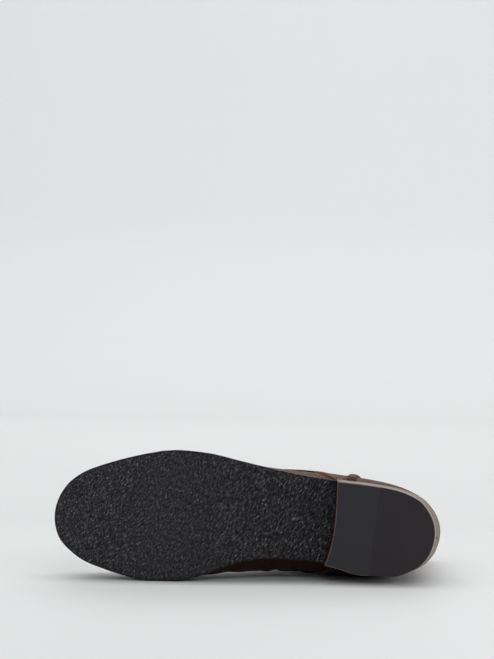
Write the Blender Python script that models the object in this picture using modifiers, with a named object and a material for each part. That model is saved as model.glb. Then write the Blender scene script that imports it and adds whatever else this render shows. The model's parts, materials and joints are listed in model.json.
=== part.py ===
"""Lace-up ankle boot for the left foot, lying on its inner side with the sole turned to the front.

Sizes are millimetres in the boot's own frame: x from the heel's back to the toe, y to the outer
(lateral) side, z up from the ground that the boot would stand on. One empty carries every piece and
lays the boot down. The mesh helpers turn millimetres into metres.
"""

import math
from collections import namedtuple

import bmesh
import bpy
import numpy as np
from mathutils import Matrix, Vector

MM = 0.001
GAP = 0.3                  # clearance between pieces that meet
SOLE_GAP = 0.4             # under the upper, where sole and upper are faceted along different lines
STRIP_GAP = 0.45           # under the side strip, likewise

# Sole and heel
SOLE_LENGTH = 265.0        # back of the walking face of the heel to the toe tip
BALL_WIDTH = 91.0          # widest part of the outsole
SOLE_THICKNESS = 5.0
SOLE_EDGE_ROUND = 0.8
HEEL_HEIGHT = 25.0         # heel seat above the ground, at the back
HEEL_FRONT_HEIGHT = 20.5   # heel seat above the ground, at the heel breast
TOE_SPRING = 10.0          # lift of the toe tip above the ball
TOP_LIFT_HEIGHT = 5.5
HEEL_TAPER_BACK = 3.0      # how far the heel seat overhangs the walking face at the back
HEEL_TAPER_SIDE = 0.7
HEEL_TAPER_REACH = 28.0    # the taper at the back fades out over this length
BREAST_LATERAL = 67.8      # heel breast, distance from the heel's back at the outer corner
BREAST_SWEEP = 6.7         # how much further forward the inner corner lies
BREAST_CURVE = 3.5
BREAST_RAKE = 2.0          # the breast leans forward by this much from ground to sole
SPLIT_MIDDLE = 41.5        # joint between the two parts of the top lift, at the centre line
SPLIT_SLANT = -0.089       # millimetres forward for each millimetre towards the outer side
TOE_ARC_START = 244.0      # from here to the tip the plan's edge is drawn as one arc
HEEL_ARC_END = 20.0        # from the heel's back to here likewise
INSOLE_ARC_END = 16.0

# Upper
WALL = 2.6                 # quarters with their lining
VAMP_STEP = 1.2            # the vamp lies this much lower than the quarters' edge
SEAM_RUN = 0.3             # width of that step
SECTION_PITCH = 12.0       # distance between sections along the seam
INSOLE_THICKNESS = 2.5
INSOLE_INSET = 1.4         # the insole's edge from the upper's inner face
TONGUE_THICKNESS = 2.2
STRIP_WIDTH = 6.2          # raised strip over the outer side seam
STRIP_HEIGHT = 1.6
STRIP_EDGE = 0.7           # the strip's height along its edges, as a share of its middle

# Lacing
EYELET_PAIRS = 7
EYELET_INSET = 7.5         # eyelet centres from the throat's edge
EYELET_BORE = 1.8
EYELET_BARREL = 2.4
EYELET_FLANGE = 4.0
EYELET_TOP = 0.95          # flange, its rim and the barrel's end from the facing's outer face
EYELET_RIM = 0.55
EYELET_END = -2.2
EYELET_FIRST = 0.9         # first and last pair, in sections from the throat and from the collar
EYELET_LAST = 0.75
HOLE_DEPTH = 12.0          # length of the cutters through the facings
LACE_RADIUS = 1.3
LACE_POINTS = 7            # points from one eyelet to the next
LACE_END = 0.06            # share of that stretch left free at each eyelet
LACE_HUMP = 0.16           # length of the hump where a strand passes over another, as a share

# Where the boot balances when it lies on its inner side, seen from that side
BALANCE_X = 112.0
BALANCE_Z = 58.0

SoleRow = namedtuple("SoleRow", "along medial lateral")
# Outline of the walking faces. along is a share of the sole's length, the half-widths to the inner
# and outer side of the line from heel back to toe tip are shares of the ball width.
SOLE_ROWS = [
    SoleRow(0.000, 0.000, 0.000),
    SoleRow(0.015, 0.171, 0.149),
    SoleRow(0.045, 0.264, 0.248),
    SoleRow(0.106, 0.332, 0.316),
    SoleRow(0.181, 0.335, 0.346),
    SoleRow(0.260, 0.286, 0.363),
    SoleRow(0.332, 0.253, 0.387),
    SoleRow(0.426, 0.245, 0.433),
    SoleRow(0.506, 0.286, 0.481),
    SoleRow(0.604, 0.396, 0.536),
    SoleRow(0.672, 0.447, 0.547),
    SoleRow(0.740, 0.451, 0.521),
    SoleRow(0.804, 0.423, 0.475),
    SoleRow(0.868, 0.374, 0.415),
    SoleRow(0.913, 0.330, 0.363),
    SoleRow(0.958, 0.247, 0.275),
    SoleRow(0.985, 0.165, 0.170),
    SoleRow(1.000, 0.000, 0.000),
]

ProfileRow = namedtuple("ProfileRow", "along height")
# Side view of the line that the upper stands on: heel seat, arch, flat tread under the ball, toe.
SEAT_ROWS = [
    ProfileRow(0.00, HEEL_HEIGHT),
    ProfileRow(0.27, HEEL_FRONT_HEIGHT),
    ProfileRow(0.38, SOLE_THICKNESS + 9.5),
    ProfileRow(0.49, SOLE_THICKNESS + 3.2),
    ProfileRow(0.59, SOLE_THICKNESS),
    ProfileRow(0.76, SOLE_THICKNESS),
    ProfileRow(0.86, SOLE_THICKNESS + 0.2 * TOE_SPRING),
    ProfileRow(0.94, SOLE_THICKNESS + 0.58 * TOE_SPRING),
    ProfileRow(1.00, SOLE_THICKNESS + TOE_SPRING),
]

FeatherRow = namedtuple("FeatherRow", "along inset")
# How far the inner face of the upper stands inside the walking outline, all round.
FEATHER_ROWS = [
    FeatherRow(0.00, 0.6),
    FeatherRow(0.10, 2.0),
    FeatherRow(0.26, 2.8),
    FeatherRow(0.45, 3.2),
    FeatherRow(0.60, 3.8),
    FeatherRow(0.75, 4.4),
    FeatherRow(1.00, 4.4),
]
FEATHER_BACK = FEATHER_ROWS[0].inset
FEATHER_TOE = SOLE_LENGTH - FEATHER_ROWS[-1].inset

Section = namedtuple("Section", "top_x rise base_x lift ridge medial lateral wide crown")
# Sections of the last from toe to collar. Each lies in the plane through its top point, which is
# rise above the seat line, and its base, on the seat line or lift above it up the back seam. ridge
# is the top point's y, medial and lateral are the largest half-widths, wide is the share of the
# section's height where they lie, and crown shapes the arch above them (2 is an ellipse).
SECTIONS = [
    Section(FEATHER_TOE, 0.0, 243.0, 0.0, 0.0, 22.4, 25.3, 0.20, 1.65),
    Section(260.2, 9.0, 240.0, 0.0, 0.0, 24.4, 27.4, 0.26, 1.85),
    Section(257.3, 18.5, 234.0, 0.0, 0.0, 28.0, 31.0, 0.29, 2.05),
    Section(250.0, 26.0, 226.0, 0.0, 0.0, 30.6, 34.2, 0.30, 2.15),
    Section(238.0, 33.5, 215.0, 0.0, -0.5, 34.0, 38.4, 0.30, 2.25),
    Section(220.0, 41.0, 200.0, 0.0, -1.5, 37.6, 43.2, 0.30, 2.25),
    Section(198.0, 48.5, 183.0, 0.0, -2.5, 38.6, 46.9, 0.30, 2.15),
    Section(177.0, 56.5, 160.0, 0.0, -3.5, 36.2, 46.4, 0.30, 2.05),
    Section(161.0, 64.5, 132.0, 0.0, -4.0, 33.0, 41.8, 0.30, 1.95),
    Section(148.0, 73.0, 104.0, 0.0, -4.0, 31.3, 37.9, 0.30, 1.90),
    Section(137.5, 81.0, 76.0, 0.0, -3.5, 30.7, 36.0, 0.32, 1.90),
    Section(129.0, 89.5, 48.0, 0.0, -3.0, 31.5, 33.6, 0.33, 1.90),
    Section(122.5, 97.5, 24.0, 0.0, -2.5, 31.8, 31.4, 0.34, 1.95),
    Section(117.5, 105.0, 9.0, 0.0, -2.0, 31.4, 29.6, 0.36, 2.00),
    Section(113.5, 112.0, FEATHER_BACK, 0.0, -1.5, 31.0, 28.4, 0.38, 2.00),
    Section(110.0, 120.0, 1.0, 21.0, -1.0, 30.2, 27.2, 0.44, 2.05),
    Section(107.0, 128.0, 5.0, 45.0, -0.5, 28.8, 26.0, 0.47, 2.10),
    Section(104.8, 135.5, 9.0, 71.0, 0.0, 27.4, 25.0, 0.49, 2.10),
    Section(103.2, 141.5, 11.0, 96.0, 0.0, 26.8, 24.4, 0.50, 2.05),
    Section(102.0, 146.0, 10.5, 122.0, 0.0, 26.8, 24.0, 0.50, 2.05),
]
CLOSED_ROW = 14            # from this section on the back seam closes the loop
COLLAR_ROW = len(SECTIONS) - 1
CROWN_SHARE = 0.58         # share of the half-loop that lies above the widest point

SeamRow = namedtuple("SeamRow", "around section")
# Front edge of the quarters, from the throat down to the sole just ahead of the heel breast.
SEAM_ROWS = [
    SeamRow(0.00, 7.80),
    SeamRow(0.16, 7.84),
    SeamRow(0.28, 8.05),
    SeamRow(0.40, 8.95),
    SeamRow(0.50, 10.00),
    SeamRow(0.58, 10.32),
    SeamRow(0.75, 10.22),
    SeamRow(1.00, 10.20),
]
THROAT_ROW = SEAM_ROWS[0].section
THROAT_HALF_LOW = 5.5      # half-width of the gap between the facings just above the throat
THROAT_HALF_TOP = 9.0
THROAT_ROUND = 0.12        # share of the throat over which its rounded start opens

StripRow = namedtuple("StripRow", "height x")
STRIP_ROWS = [
    StripRow(24.0, 60.5),
    StripRow(45.0, 60.0),
    StripRow(80.0, 57.5),
    StripRow(115.0, 55.5),
    StripRow(150.5, 54.0),
]

TongueRow = namedtuple("TongueRow", "section half_width drop")
# drop is the clearance under the lining: the tongue is caught under the vamp, and the lace runs
# between it and the facings further up.
TONGUE_ROWS = [
    TongueRow(7.2, 13.0, 0.8),
    TongueRow(8.2, 17.0, 1.2),
    TongueRow(10.0, 20.0, 1.6),
    TongueRow(14.0, 22.0, 1.8),
    TongueRow(19.0, 22.5, 1.2),
    TongueRow(20.0, 20.0, 1.2),
    TongueRow(20.5, 14.0, 1.2),
]

MEDIAL, LATERAL = -1, 1


# Curves through short tables

def through_rows(x, xs, ys):
    """Monotone cubic through (xs, ys), read at x, running on straight past the last row."""
    x = np.asarray(x, float)
    xs = np.asarray(xs, float)
    ys = np.asarray(ys, float)
    step = np.diff(xs)
    slope = np.diff(ys) / step
    tangent = np.zeros_like(ys)
    product = slope[:-1] * slope[1:]
    total = np.where(product > 0, slope[:-1] + slope[1:], 1.0)
    tangent[1:-1] = np.where(product > 0, 2 * product / total, 0.0)
    tangent[0], tangent[-1] = slope[0], slope[-1]
    i = np.clip(np.searchsorted(xs, x, side="right") - 1, 0, len(step) - 1)
    t = np.clip((x - xs[i]) / step[i], 0.0, 1.0)
    value = (ys[i] * (1 + 2 * t) * (1 - t) ** 2 + ys[i + 1] * t * t * (3 - 2 * t)
             + step[i] * (tangent[i] * t * (1 - t) ** 2 - tangent[i + 1] * t * t * (1 - t)))
    return value + np.maximum(x - xs[-1], 0.0) * tangent[-1]


def read_table(rows, x, column):
    """One column of a table, read at x on the table's first column."""
    return through_rows(x, [row[0] for row in rows], [getattr(row, column) for row in rows])


def read_sections(u, column):
    return through_rows(u, range(len(SECTIONS)), [getattr(row, column) for row in SECTIONS])


def seat_height(x):
    return read_table(SEAT_ROWS, np.asarray(x) / SOLE_LENGTH, "height")


# Plan of the sole

def half_width(x, side):
    """Half-width of the walking outline; squares are smoothed so that both ends come out round."""
    column = "lateral" if side == LATERAL else "medial"
    squares = [getattr(row, column) ** 2 for row in SOLE_ROWS]
    share = through_rows(np.asarray(x) / SOLE_LENGTH, [row.along for row in SOLE_ROWS], squares)
    return BALL_WIDTH * np.sqrt(np.maximum(share, 0.0))


def edge_point(t, side, inset):
    """Plan point on one side; t runs from the heel's back (0) to the toe tip (1)."""
    t = np.asarray(t, float)
    nudge = 1e-4

    def bare(values):
        x = SOLE_LENGTH * (1 - np.cos(np.pi * values)) / 2
        return np.stack([x, side * half_width(x, side) * np.sign(np.sin(np.pi * values))], -1)

    along = bare(t + nudge) - bare(t - nudge)
    along /= np.linalg.norm(along, axis=-1, keepdims=True)
    inward = side * np.stack([along[..., 1], -along[..., 0]], -1)
    return bare(t) + inward * np.asarray(inset)[..., None]


def t_at(x):
    return np.arccos(1 - 2 * np.asarray(x) / SOLE_LENGTH) / np.pi


def heel_overhang(t):
    """Negative inset that widens the walking outline to the heel seat."""
    x = SOLE_LENGTH * (1 - np.cos(np.pi * np.asarray(t))) / 2
    back = np.clip(1 - x / HEEL_TAPER_REACH, 0, 1) ** 2
    return -(HEEL_TAPER_SIDE + (HEEL_TAPER_BACK - HEEL_TAPER_SIDE) * back)


def feather_inset(t):
    along = (1 - np.cos(np.pi * np.asarray(t))) / 2
    return read_table(FEATHER_ROWS, along, "inset")


def feather_half(x, side):
    """Half-width of the foot of the upper's inner face at x."""
    t = np.linspace(0, 1, 400)
    curve = edge_point(t, side, feather_inset(t))
    return np.interp(x, curve[:, 0], side * curve[:, 1], left=0.0, right=0.0)


def breast_x(y):
    """Concave front line of the heel on the ground."""
    outer = half_width(BREAST_LATERAL, LATERAL)
    inner = half_width(BREAST_LATERAL + BREAST_SWEEP, MEDIAL)
    share = np.clip((outer - y) / (outer + inner), 0, 1)
    return BREAST_LATERAL + BREAST_SWEEP * share ** BREAST_CURVE


def split_x(y):
    return SPLIT_MIDDLE + SPLIT_SLANT * y


def end_line(t_end, end, inset, columns):
    """Round end of the plan, from the inner side at t_end over the end (0 or 1) to the outer side."""
    half = np.linspace(t_end, end, columns // 2 + 1)
    inner = edge_point(half, MEDIAL, inset(half))
    outer = edge_point(half[::-1], LATERAL, inset(half[::-1]))
    return np.concatenate([inner[:-1], (inner[-1:] + outer[:1]) / 2, outer[1:]])


def cross_line(line, shift, inset, columns):
    """Line across the plan at x = line(y) + shift, ending on both edges."""
    ends = []
    for side in (MEDIAL, LATERAL):
        x = line(side * BALL_WIDTH / 3)
        for _ in range(6):
            t = t_at(x)
            y = edge_point(t, side, inset(t))[1]
            x = line(y) + shift
        ends.append(y)
    y = np.linspace(ends[0], ends[1], columns + 1)
    return np.stack([line(y) + shift, y], -1)


def plan_grid(rear, front, inset, rows):
    """Plan points between a rear and a front line, with the sole's edges at both sides."""
    columns = len(rear) - 1
    sides = []
    for side, j in ((MEDIAL, 0), (LATERAL, columns)):
        t = np.linspace(t_at(max(rear[j, 0], 0.0)), t_at(front[j, 0]), rows + 1)
        curve = edge_point(t, side, inset(t))
        curve[0], curve[-1] = rear[j], front[j]
        sides.append(curve)
    a = np.linspace(0, 1, rows + 1)[:, None, None]
    b = np.linspace(0, 1, columns + 1)[None, :, None]
    left, right = sides[0][:, None], sides[1][:, None]
    ruled = (1 - a) * rear[None] + a * front[None] + (1 - b) * left + b * right
    corners = ((1 - a) * ((1 - b) * rear[0] + b * rear[-1]) + a * ((1 - b) * front[0] + b * front[-1]))
    return ruled - corners


def lift_grid(plan, height):
    """Plan points with a height, given as a number or as a function of x."""
    z = height(plan[..., 0]) if callable(height) else np.full(plan.shape[:-1], float(height))
    return np.concatenate([plan, z[..., None]], -1)


# Form of the last

def last_point(u, s):
    """Point of the last. u counts sections from the toe, s runs from the inner base (-1) over the
    ridge (0) to the outer base (1)."""
    u, s = np.broadcast_arrays(np.asarray(u, float), np.asarray(s, float))
    section = {name: read_sections(u, name) for name in Section._fields}
    outer = s >= 0
    widest = np.where(outer, section["lateral"], -section["medial"])
    foot = np.where(outer, feather_half(section["base_x"], LATERAL),
                    feather_half(section["base_x"], MEDIAL))
    share = np.where(u < CLOSED_ROW, foot, 0.0) / np.abs(widest)
    around = np.abs(s)

    arch = (1 - np.minimum(around / CROWN_SHARE, 1)) * np.pi / 2
    power = 2 / section["crown"]
    arch_y = section["ridge"] + (widest - section["ridge"]) * np.cos(arch) ** power
    arch_h = section["wide"] + (1 - section["wide"]) * np.sin(arch) ** power

    down = np.clip((around - CROWN_SHARE) / (1 - CROWN_SHARE), 0, 1)
    end = np.arccos(np.clip(share, 0, 1))
    turned = end > 1e-3
    ratio = np.where(turned, np.sin(down * end) / np.where(turned, np.sin(end), 1), down)
    tucked = widest * np.cos(down * end)
    flared = widest * (1 + (share - 1) * down)
    wall_y = np.where(share < 1, tucked, flared)
    wall_h = section["wide"] * (1 - ratio)

    low = around > CROWN_SHARE
    y = np.where(low, wall_y, arch_y)
    h = np.where(low, wall_h, arch_h)
    base_z = seat_height(section["base_x"]) + SOLE_GAP + section["lift"]
    top_z = seat_height(section["top_x"]) + SOLE_GAP + section["rise"]
    x = section["base_x"] + h * (section["top_x"] - section["base_x"])
    z = base_z + h * (top_z - base_z)
    return np.stack([x, y, z], -1)


def on_sole(u, s):
    """True along the foot of the wall: the toe edge and both bases up to the back seam."""
    return (u < 1e-6) | ((np.abs(s) > 1 - 1e-6) & (u <= CLOSED_ROW + 1e-6))


def last_normal(u, s):
    """Outward normal of the last; level where the wall stands on the sole, in the middle plane at
    the back seam."""
    u, s = np.broadcast_arrays(np.asarray(u, float), np.asarray(s, float))
    du, ds = 0.02, 0.004
    along = last_point(u + du, s) - last_point(np.maximum(u - du, 0), s)
    across = last_point(u, np.minimum(s + ds, 1)) - last_point(u, np.maximum(s - ds, -1))
    normal = np.cross(across, along)
    at_base = np.abs(s) > 1 - 1e-6
    normal[..., 1] = np.where(at_base & (u >= CLOSED_ROW - 1e-6), 0, normal[..., 1])
    normal[..., 2] = np.where(on_sole(u, s), 0, normal[..., 2])
    return normal / np.linalg.norm(normal, axis=-1, keepdims=True)


def off_last(u, s, height):
    """Point at a height over the last, along its normal; the foot of the wall follows the sole."""
    u, s = np.broadcast_arrays(np.asarray(u, float), np.asarray(s, float))
    start = last_point(u, s)
    point = start + last_normal(u, s) * np.asarray(height)[..., None]
    climb = seat_height(point[..., 0]) - seat_height(start[..., 0])
    point[..., 2] += np.where(on_sole(u, s), climb, 0.0)
    return point


def around_at(u, y, side):
    """Where around the section the arch lies y millimetres to one side of its ridge."""
    widest = read_sections(u, "lateral" if side == LATERAL else "medial")
    share = np.clip(y / (widest - side * read_sections(u, "ridge")), 0, 1)
    arch = np.arccos(share ** (read_sections(u, "crown") / 2))
    return CROWN_SHARE * (1 - arch / (np.pi / 2))


def throat_half(u):
    """Half the gap between the facings: a rounded start at the throat, widening to the collar."""
    up = np.clip((np.asarray(u) - THROAT_ROW) / (COLLAR_ROW - THROAT_ROW), 0, 1)
    start = np.sqrt(np.clip(up / THROAT_ROUND, 0, 1))
    return start * (THROAT_HALF_LOW + (THROAT_HALF_TOP - THROAT_HALF_LOW) * up)


def place_on_side(x, z, side):
    """The (u, s) of the point that the side view shows at (x, z)."""
    low, high = 0.0, float(COLLAR_ROW) + 1
    for _ in range(50):
        u = (low + high) / 2
        base, top = last_point(u, side), last_point(u, 0.0)
        turn = (top[0] - base[0]) * (z - base[2]) - (top[2] - base[2]) * (x - base[0])
        low, high = (u, high) if turn > 0 else (low, u)
    near, far = 0.0, 1.0
    for _ in range(50):
        around = (near + far) / 2
        point = last_point(u, side * around)
        short = (point[0] - x) * (top[0] - base[0]) + (point[2] - z) * (top[2] - base[2])
        near, far = (around, far) if short > 0 else (near, around)
    return u, side * around


# Meshes and objects

def new_object(name, mesh, collection, carrier, material=None):
    obj = bpy.data.objects.new(name, mesh)
    collection.objects.link(obj)
    obj.parent = carrier
    if material:
        mesh.materials.append(material)
    return obj


def finish_mesh(name, bm, smooth_angle):
    bmesh.ops.recalc_face_normals(bm, faces=bm.faces)
    mesh = bpy.data.meshes.new(name)
    bm.to_mesh(mesh)
    bm.free()
    mesh.shade_smooth()
    mesh.set_sharp_from_angle(angle=math.radians(smooth_angle))
    return mesh


def solid_between(name, low_grids, high_grids, smooth_angle=40):
    """Closed solid between two sheets that are made of matching grids of points. Points of the low
    sheet that coincide are one corner, so grids join along shared lines."""
    bm = bmesh.new()
    corners = {}

    def corner(low, high):
        key = tuple(np.round(low, 3) + 0.0)
        if key not in corners:
            corners[key] = (bm.verts.new(Vector(low) * MM), bm.verts.new(Vector(high) * MM))
        return corners[key]

    use = {}
    for low, high in zip(low_grids, high_grids):
        rows, columns = low.shape[:2]
        pair = [[corner(low[i, j], high[i, j]) for j in range(columns)] for i in range(rows)]
        for i in range(rows - 1):
            for j in range(columns - 1):
                ring = [pair[i][j], pair[i][j + 1], pair[i + 1][j + 1], pair[i + 1][j]]
                ring = [p for k, p in enumerate(ring) if p is not ring[k - 1]]
                if len(ring) < 3:
                    continue
                bm.faces.new([p[0] for p in ring])
                bm.faces.new([p[1] for p in reversed(ring)])
                for a, b in zip(ring, ring[1:] + ring[:1]):
                    key = frozenset((a[0], b[0]))
                    use[key] = None if key in use else (a, b)
    for rim in use.values():
        if rim:
            a, b = rim
            bm.faces.new([b[0], a[0], a[1], b[1]])
    return finish_mesh(name, bm, smooth_angle)


def material(name, colour, roughness, metallic=0.0):
    mat = bpy.data.materials.new(name)
    mat.use_nodes = True
    shader = mat.node_tree.nodes["Principled BSDF"]
    shader.inputs["Base Color"].default_value = (*colour, 1.0)
    shader.inputs["Roughness"].default_value = roughness
    shader.inputs["Metallic"].default_value = metallic
    return mat


def add_bevel(obj, width):
    bevel = obj.modifiers.new("rounded_edges", "BEVEL")
    bevel.width = width * MM
    bevel.segments = 2
    bevel.limit_method = "ANGLE"
    bevel.angle_limit = math.radians(55)


# Sole pieces

def no_inset(t):
    return np.zeros_like(np.asarray(t, float))


def outsole_mesh():
    columns = 8
    shift = BREAST_RAKE + GAP
    rear = cross_line(breast_x, shift, no_inset, columns)
    front = end_line(t_at(TOE_ARC_START), 1.0, no_inset, columns)
    plan = plan_grid(rear, front, no_inset, rows=24)
    top = lift_grid(plan, seat_height)
    bottom = lift_grid(plan, lambda x: seat_height(x) - SOLE_THICKNESS)
    return solid_between("outsole", [bottom], [top])


def heel_stack_mesh():
    rows, columns = 7, 10
    lift_top = TOP_LIFT_HEIGHT + GAP
    back_low = end_line(t_at(HEEL_ARC_END), 0.0, no_inset, columns)
    back_high = end_line(t_at(HEEL_ARC_END), 0.0, heel_overhang, columns)
    lean = BREAST_RAKE * lift_top / HEEL_FRONT_HEIGHT
    front_low = cross_line(breast_x, lean, no_inset, columns)
    front_high = cross_line(breast_x, BREAST_RAKE, heel_overhang, columns)
    low = lift_grid(plan_grid(back_low, front_low, no_inset, rows), lift_top)
    high = lift_grid(plan_grid(back_high, front_high, heel_overhang, rows), seat_height)
    return solid_between("heel_stack", [low], [high])


def top_lift_meshes():
    """Walking face of the heel: a front part at the breast and a rear part at the back."""
    columns = 10
    back = end_line(t_at(HEEL_ARC_END), 0.0, no_inset, columns)
    joint_rear = cross_line(split_x, -GAP / 2, no_inset, columns)
    joint_front = cross_line(split_x, GAP / 2, no_inset, columns)
    breast = cross_line(breast_x, 0.0, no_inset, columns)
    rear = plan_grid(back, joint_rear, no_inset, rows=4)
    front = plan_grid(joint_front, breast, no_inset, rows=3)
    return [solid_between(name, [lift_grid(plan, 0.0)], [lift_grid(plan, TOP_LIFT_HEIGHT)])
            for name, plan in (("top_lift_front", front), ("top_lift_rear", rear))]


def insole_mesh():
    columns = 8

    def inset(t):
        return feather_inset(t) + INSOLE_INSET

    rear = end_line(t_at(INSOLE_ARC_END), 0.0, inset, columns)
    front = end_line(t_at(TOE_ARC_START), 1.0, inset, columns)
    plan = plan_grid(rear, front, inset, rows=20)
    low = lift_grid(plan, lambda x: seat_height(x) + GAP)
    high = lift_grid(plan, lambda x: seat_height(x) + GAP + INSOLE_THICKNESS)
    return solid_between("insole", [low], [high])


# Upper and what it carries

def upper_grids():
    """Grid positions (u, s) of the vamp and of the two quarters, with the seam between them."""
    columns = 13
    vamp_rows, heel_rows, shaft_rows = 20, 9, 7
    around = np.linspace(0, 1, columns + 1)
    seam = read_table(SEAM_ROWS, around, "section")
    run = SEAM_RUN / SECTION_PITCH
    crowding = 0.12            # rows lie closer together near the seam than near the toe

    full = np.concatenate([-around[:0:-1], around])
    full_seam = np.concatenate([seam[:0:-1], seam]) - run
    steps = np.linspace(0, 1, vamp_rows + 1)[:, None]
    vamp_u = steps * (1 + crowding - crowding * steps) * full_seam[None]
    vamp_s = np.broadcast_to(full, vamp_u.shape)

    heel = seam + np.linspace(0, 1, heel_rows + 1)[:, None] * (CLOSED_ROW - seam)
    shaft = np.linspace(CLOSED_ROW, COLLAR_ROW, shaft_rows + 1)[1:, None] + 0 * seam
    quarter_u = np.concatenate([heel, shaft])
    quarters = []
    for side in (MEDIAL, LATERAL):
        start = around_at(quarter_u, throat_half(quarter_u), side)
        start = np.where(quarter_u > THROAT_ROW, start, 0.0)
        quarters.append((quarter_u, side * (start + (1 - start) * around)))
    return (vamp_u, vamp_s), quarters


def upper_mesh():
    (vamp_u, vamp_s), quarters = upper_grids()
    low = [last_point(vamp_u, vamp_s)]
    high = [off_last(vamp_u, vamp_s, np.full(vamp_u.shape, WALL - VAMP_STEP))]
    middle = vamp_u.shape[1] // 2
    for side, (u, s) in zip((MEDIAL, LATERAL), quarters):
        inner = last_point(u, s)
        outer = off_last(u, s, np.full(u.shape, WALL))
        half = slice(middle, None) if side == LATERAL else slice(middle, None, -1)
        low += [np.stack([low[0][-1, half], inner[0]]), inner]
        high += [np.stack([high[0][-1, half], outer[0]]), outer]
    return solid_between("upper", low, high)


def tongue_mesh():
    rows, columns = 20, 8
    section = np.linspace(TONGUE_ROWS[0].section, TONGUE_ROWS[-1].section, rows + 1)
    half = read_table(TONGUE_ROWS, section, "half_width")
    drop = read_table(TONGUE_ROWS, section, "drop")
    share = np.linspace(-1, 1, columns + 1)
    u = np.repeat(section[:, None], columns + 1, 1)
    s = np.where(share < 0, -around_at(u, -share * half[:, None], MEDIAL),
                 around_at(u, share * half[:, None], LATERAL))
    depth = np.repeat(drop[:, None], columns + 1, 1)
    return solid_between("tongue", [off_last(u, s, -depth - TONGUE_THICKNESS)],
                         [off_last(u, s, -depth)])


def side_strip_mesh():
    rows = 12
    heights = np.linspace(STRIP_ROWS[0].height, STRIP_ROWS[-1].height, rows + 1)
    place = np.array([[place_on_side(read_table(STRIP_ROWS, z, "x") + STRIP_WIDTH * across, z, LATERAL)
                       for across in (-0.5, 0.0, 0.5)] for z in heights])
    u, s = place[..., 0], place[..., 1]
    rise = np.full(u.shape, WALL + STRIP_GAP)
    crown = rise + STRIP_HEIGHT * np.array([STRIP_EDGE, 1.0, STRIP_EDGE])
    return solid_between("side_strip", [off_last(u, s, rise)], [off_last(u, s, crown)],
                         smooth_angle=60)


def eyelet_places():
    """(u, s) of the eyelets on each side, evenly spaced up the facing."""
    track = np.linspace(THROAT_ROW + EYELET_FIRST, COLLAR_ROW - EYELET_LAST, 200)
    middle = last_point(track, 0.0)
    run = np.concatenate([[0], np.cumsum(np.linalg.norm(np.diff(middle, axis=0), axis=1))])
    u = np.interp(np.linspace(0, run[-1], EYELET_PAIRS), run, track)
    return {side: (u, side * around_at(u, throat_half(u) + EYELET_INSET, side))
            for side in (MEDIAL, LATERAL)}


def eyelet_mesh():
    """Turned ring: a domed flange on the facing and a barrel through its hole."""
    bead = (EYELET_FLANGE + EYELET_BARREL) / 2
    profile = [
        (EYELET_BARREL, EYELET_TOP),
        (bead, EYELET_TOP),
        (EYELET_FLANGE, EYELET_RIM),
        (EYELET_FLANGE, GAP),
        (EYELET_BARREL, GAP),
        (EYELET_BARREL, EYELET_END),
        (EYELET_BORE, EYELET_END),
        (EYELET_BORE, EYELET_RIM),
    ]
    mesh = bpy.data.meshes.new("eyelet")
    count = len(profile)
    mesh.from_pydata([(r * MM, 0, z * MM) for r, z in profile],
                     [(i, (i + 1) % count) for i in range(count)], [])
    return mesh


def turn_profile(obj, steps):
    screw = obj.modifiers.new("turned", "SCREW")
    screw.steps = steps
    screw.render_steps = steps
    screw.use_merge_vertices = True
    screw.merge_threshold = 0.00001
    screw.use_smooth_shade = True


def facing_frame(u, s):
    """Place on the outer face of the facing, with local Z along its normal."""
    normal = Vector(last_normal(u, s))
    point = Vector(off_last(u, s, WALL)) * MM
    return Matrix.Translation(point) @ normal.to_track_quat("Z", "Y").to_matrix().to_4x4()


def hole_cutter_mesh(places):
    """One cylinder through the facing at each eyelet."""
    bm = bmesh.new()
    for u, s in places:
        bmesh.ops.create_cone(bm, cap_ends=True, segments=12, depth=HOLE_DEPTH * MM,
                              radius1=(EYELET_BARREL + GAP) * MM, radius2=(EYELET_BARREL + GAP) * MM,
                              matrix=facing_frame(u, s))
    mesh = bpy.data.meshes.new("eyelet_holes")
    bm.to_mesh(mesh)
    bm.free()
    return mesh


def lace_route(eyelets):
    """Points of the lace from one top eyelet down to the bar across the throat and up again. The
    strand that goes down passes over the one that comes up at every other crossing."""
    seat = EYELET_TOP + GAP + LACE_RADIUS
    high = 2 * LACE_RADIUS + GAP

    def eyelet(k, side):
        u, s = eyelets[side]
        return np.array([u[k], s[k]])

    top = EYELET_PAIRS - 1
    down = [(k, MEDIAL if (top - k) % 2 == 0 else LATERAL) for k in range(top, -1, -1)]
    up = [(k, -side) for k, side in reversed(down)]
    stops = down + up
    route = []
    for n, ((k, side), (k2, side2)) in enumerate(zip(stops, stops[1:])):
        a, b = eyelet(k, side), eyelet(k2, side2)
        crossing = k != k2
        over = crossing and (min(k, k2) + (n < top)) % 2 == 0
        for share in np.linspace(LACE_END, 1 - LACE_END, LACE_POINTS):
            u, s = a + (b - a) * share
            bump = math.exp(-((share - 0.5) / LACE_HUMP) ** 2)
            route.append(off_last(u, s, WALL + seat + (high * bump if over else 0.0)))
    return route


def lace_object(eyelets, collection, carrier, mat):
    curve = bpy.data.curves.new("lace", "CURVE")
    curve.dimensions = "3D"
    curve.bevel_depth = LACE_RADIUS * MM
    curve.bevel_resolution = 1
    curve.use_fill_caps = True
    route = lace_route(eyelets)
    spline = curve.splines.new("POLY")
    spline.points.add(len(route) - 1)
    for point, place in zip(spline.points, route):
        point.co = (*(place * MM), 1.0)
    spline.use_smooth = True
    return new_object("lace", curve, collection, carrier, mat)


# Laying the boot down

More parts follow.
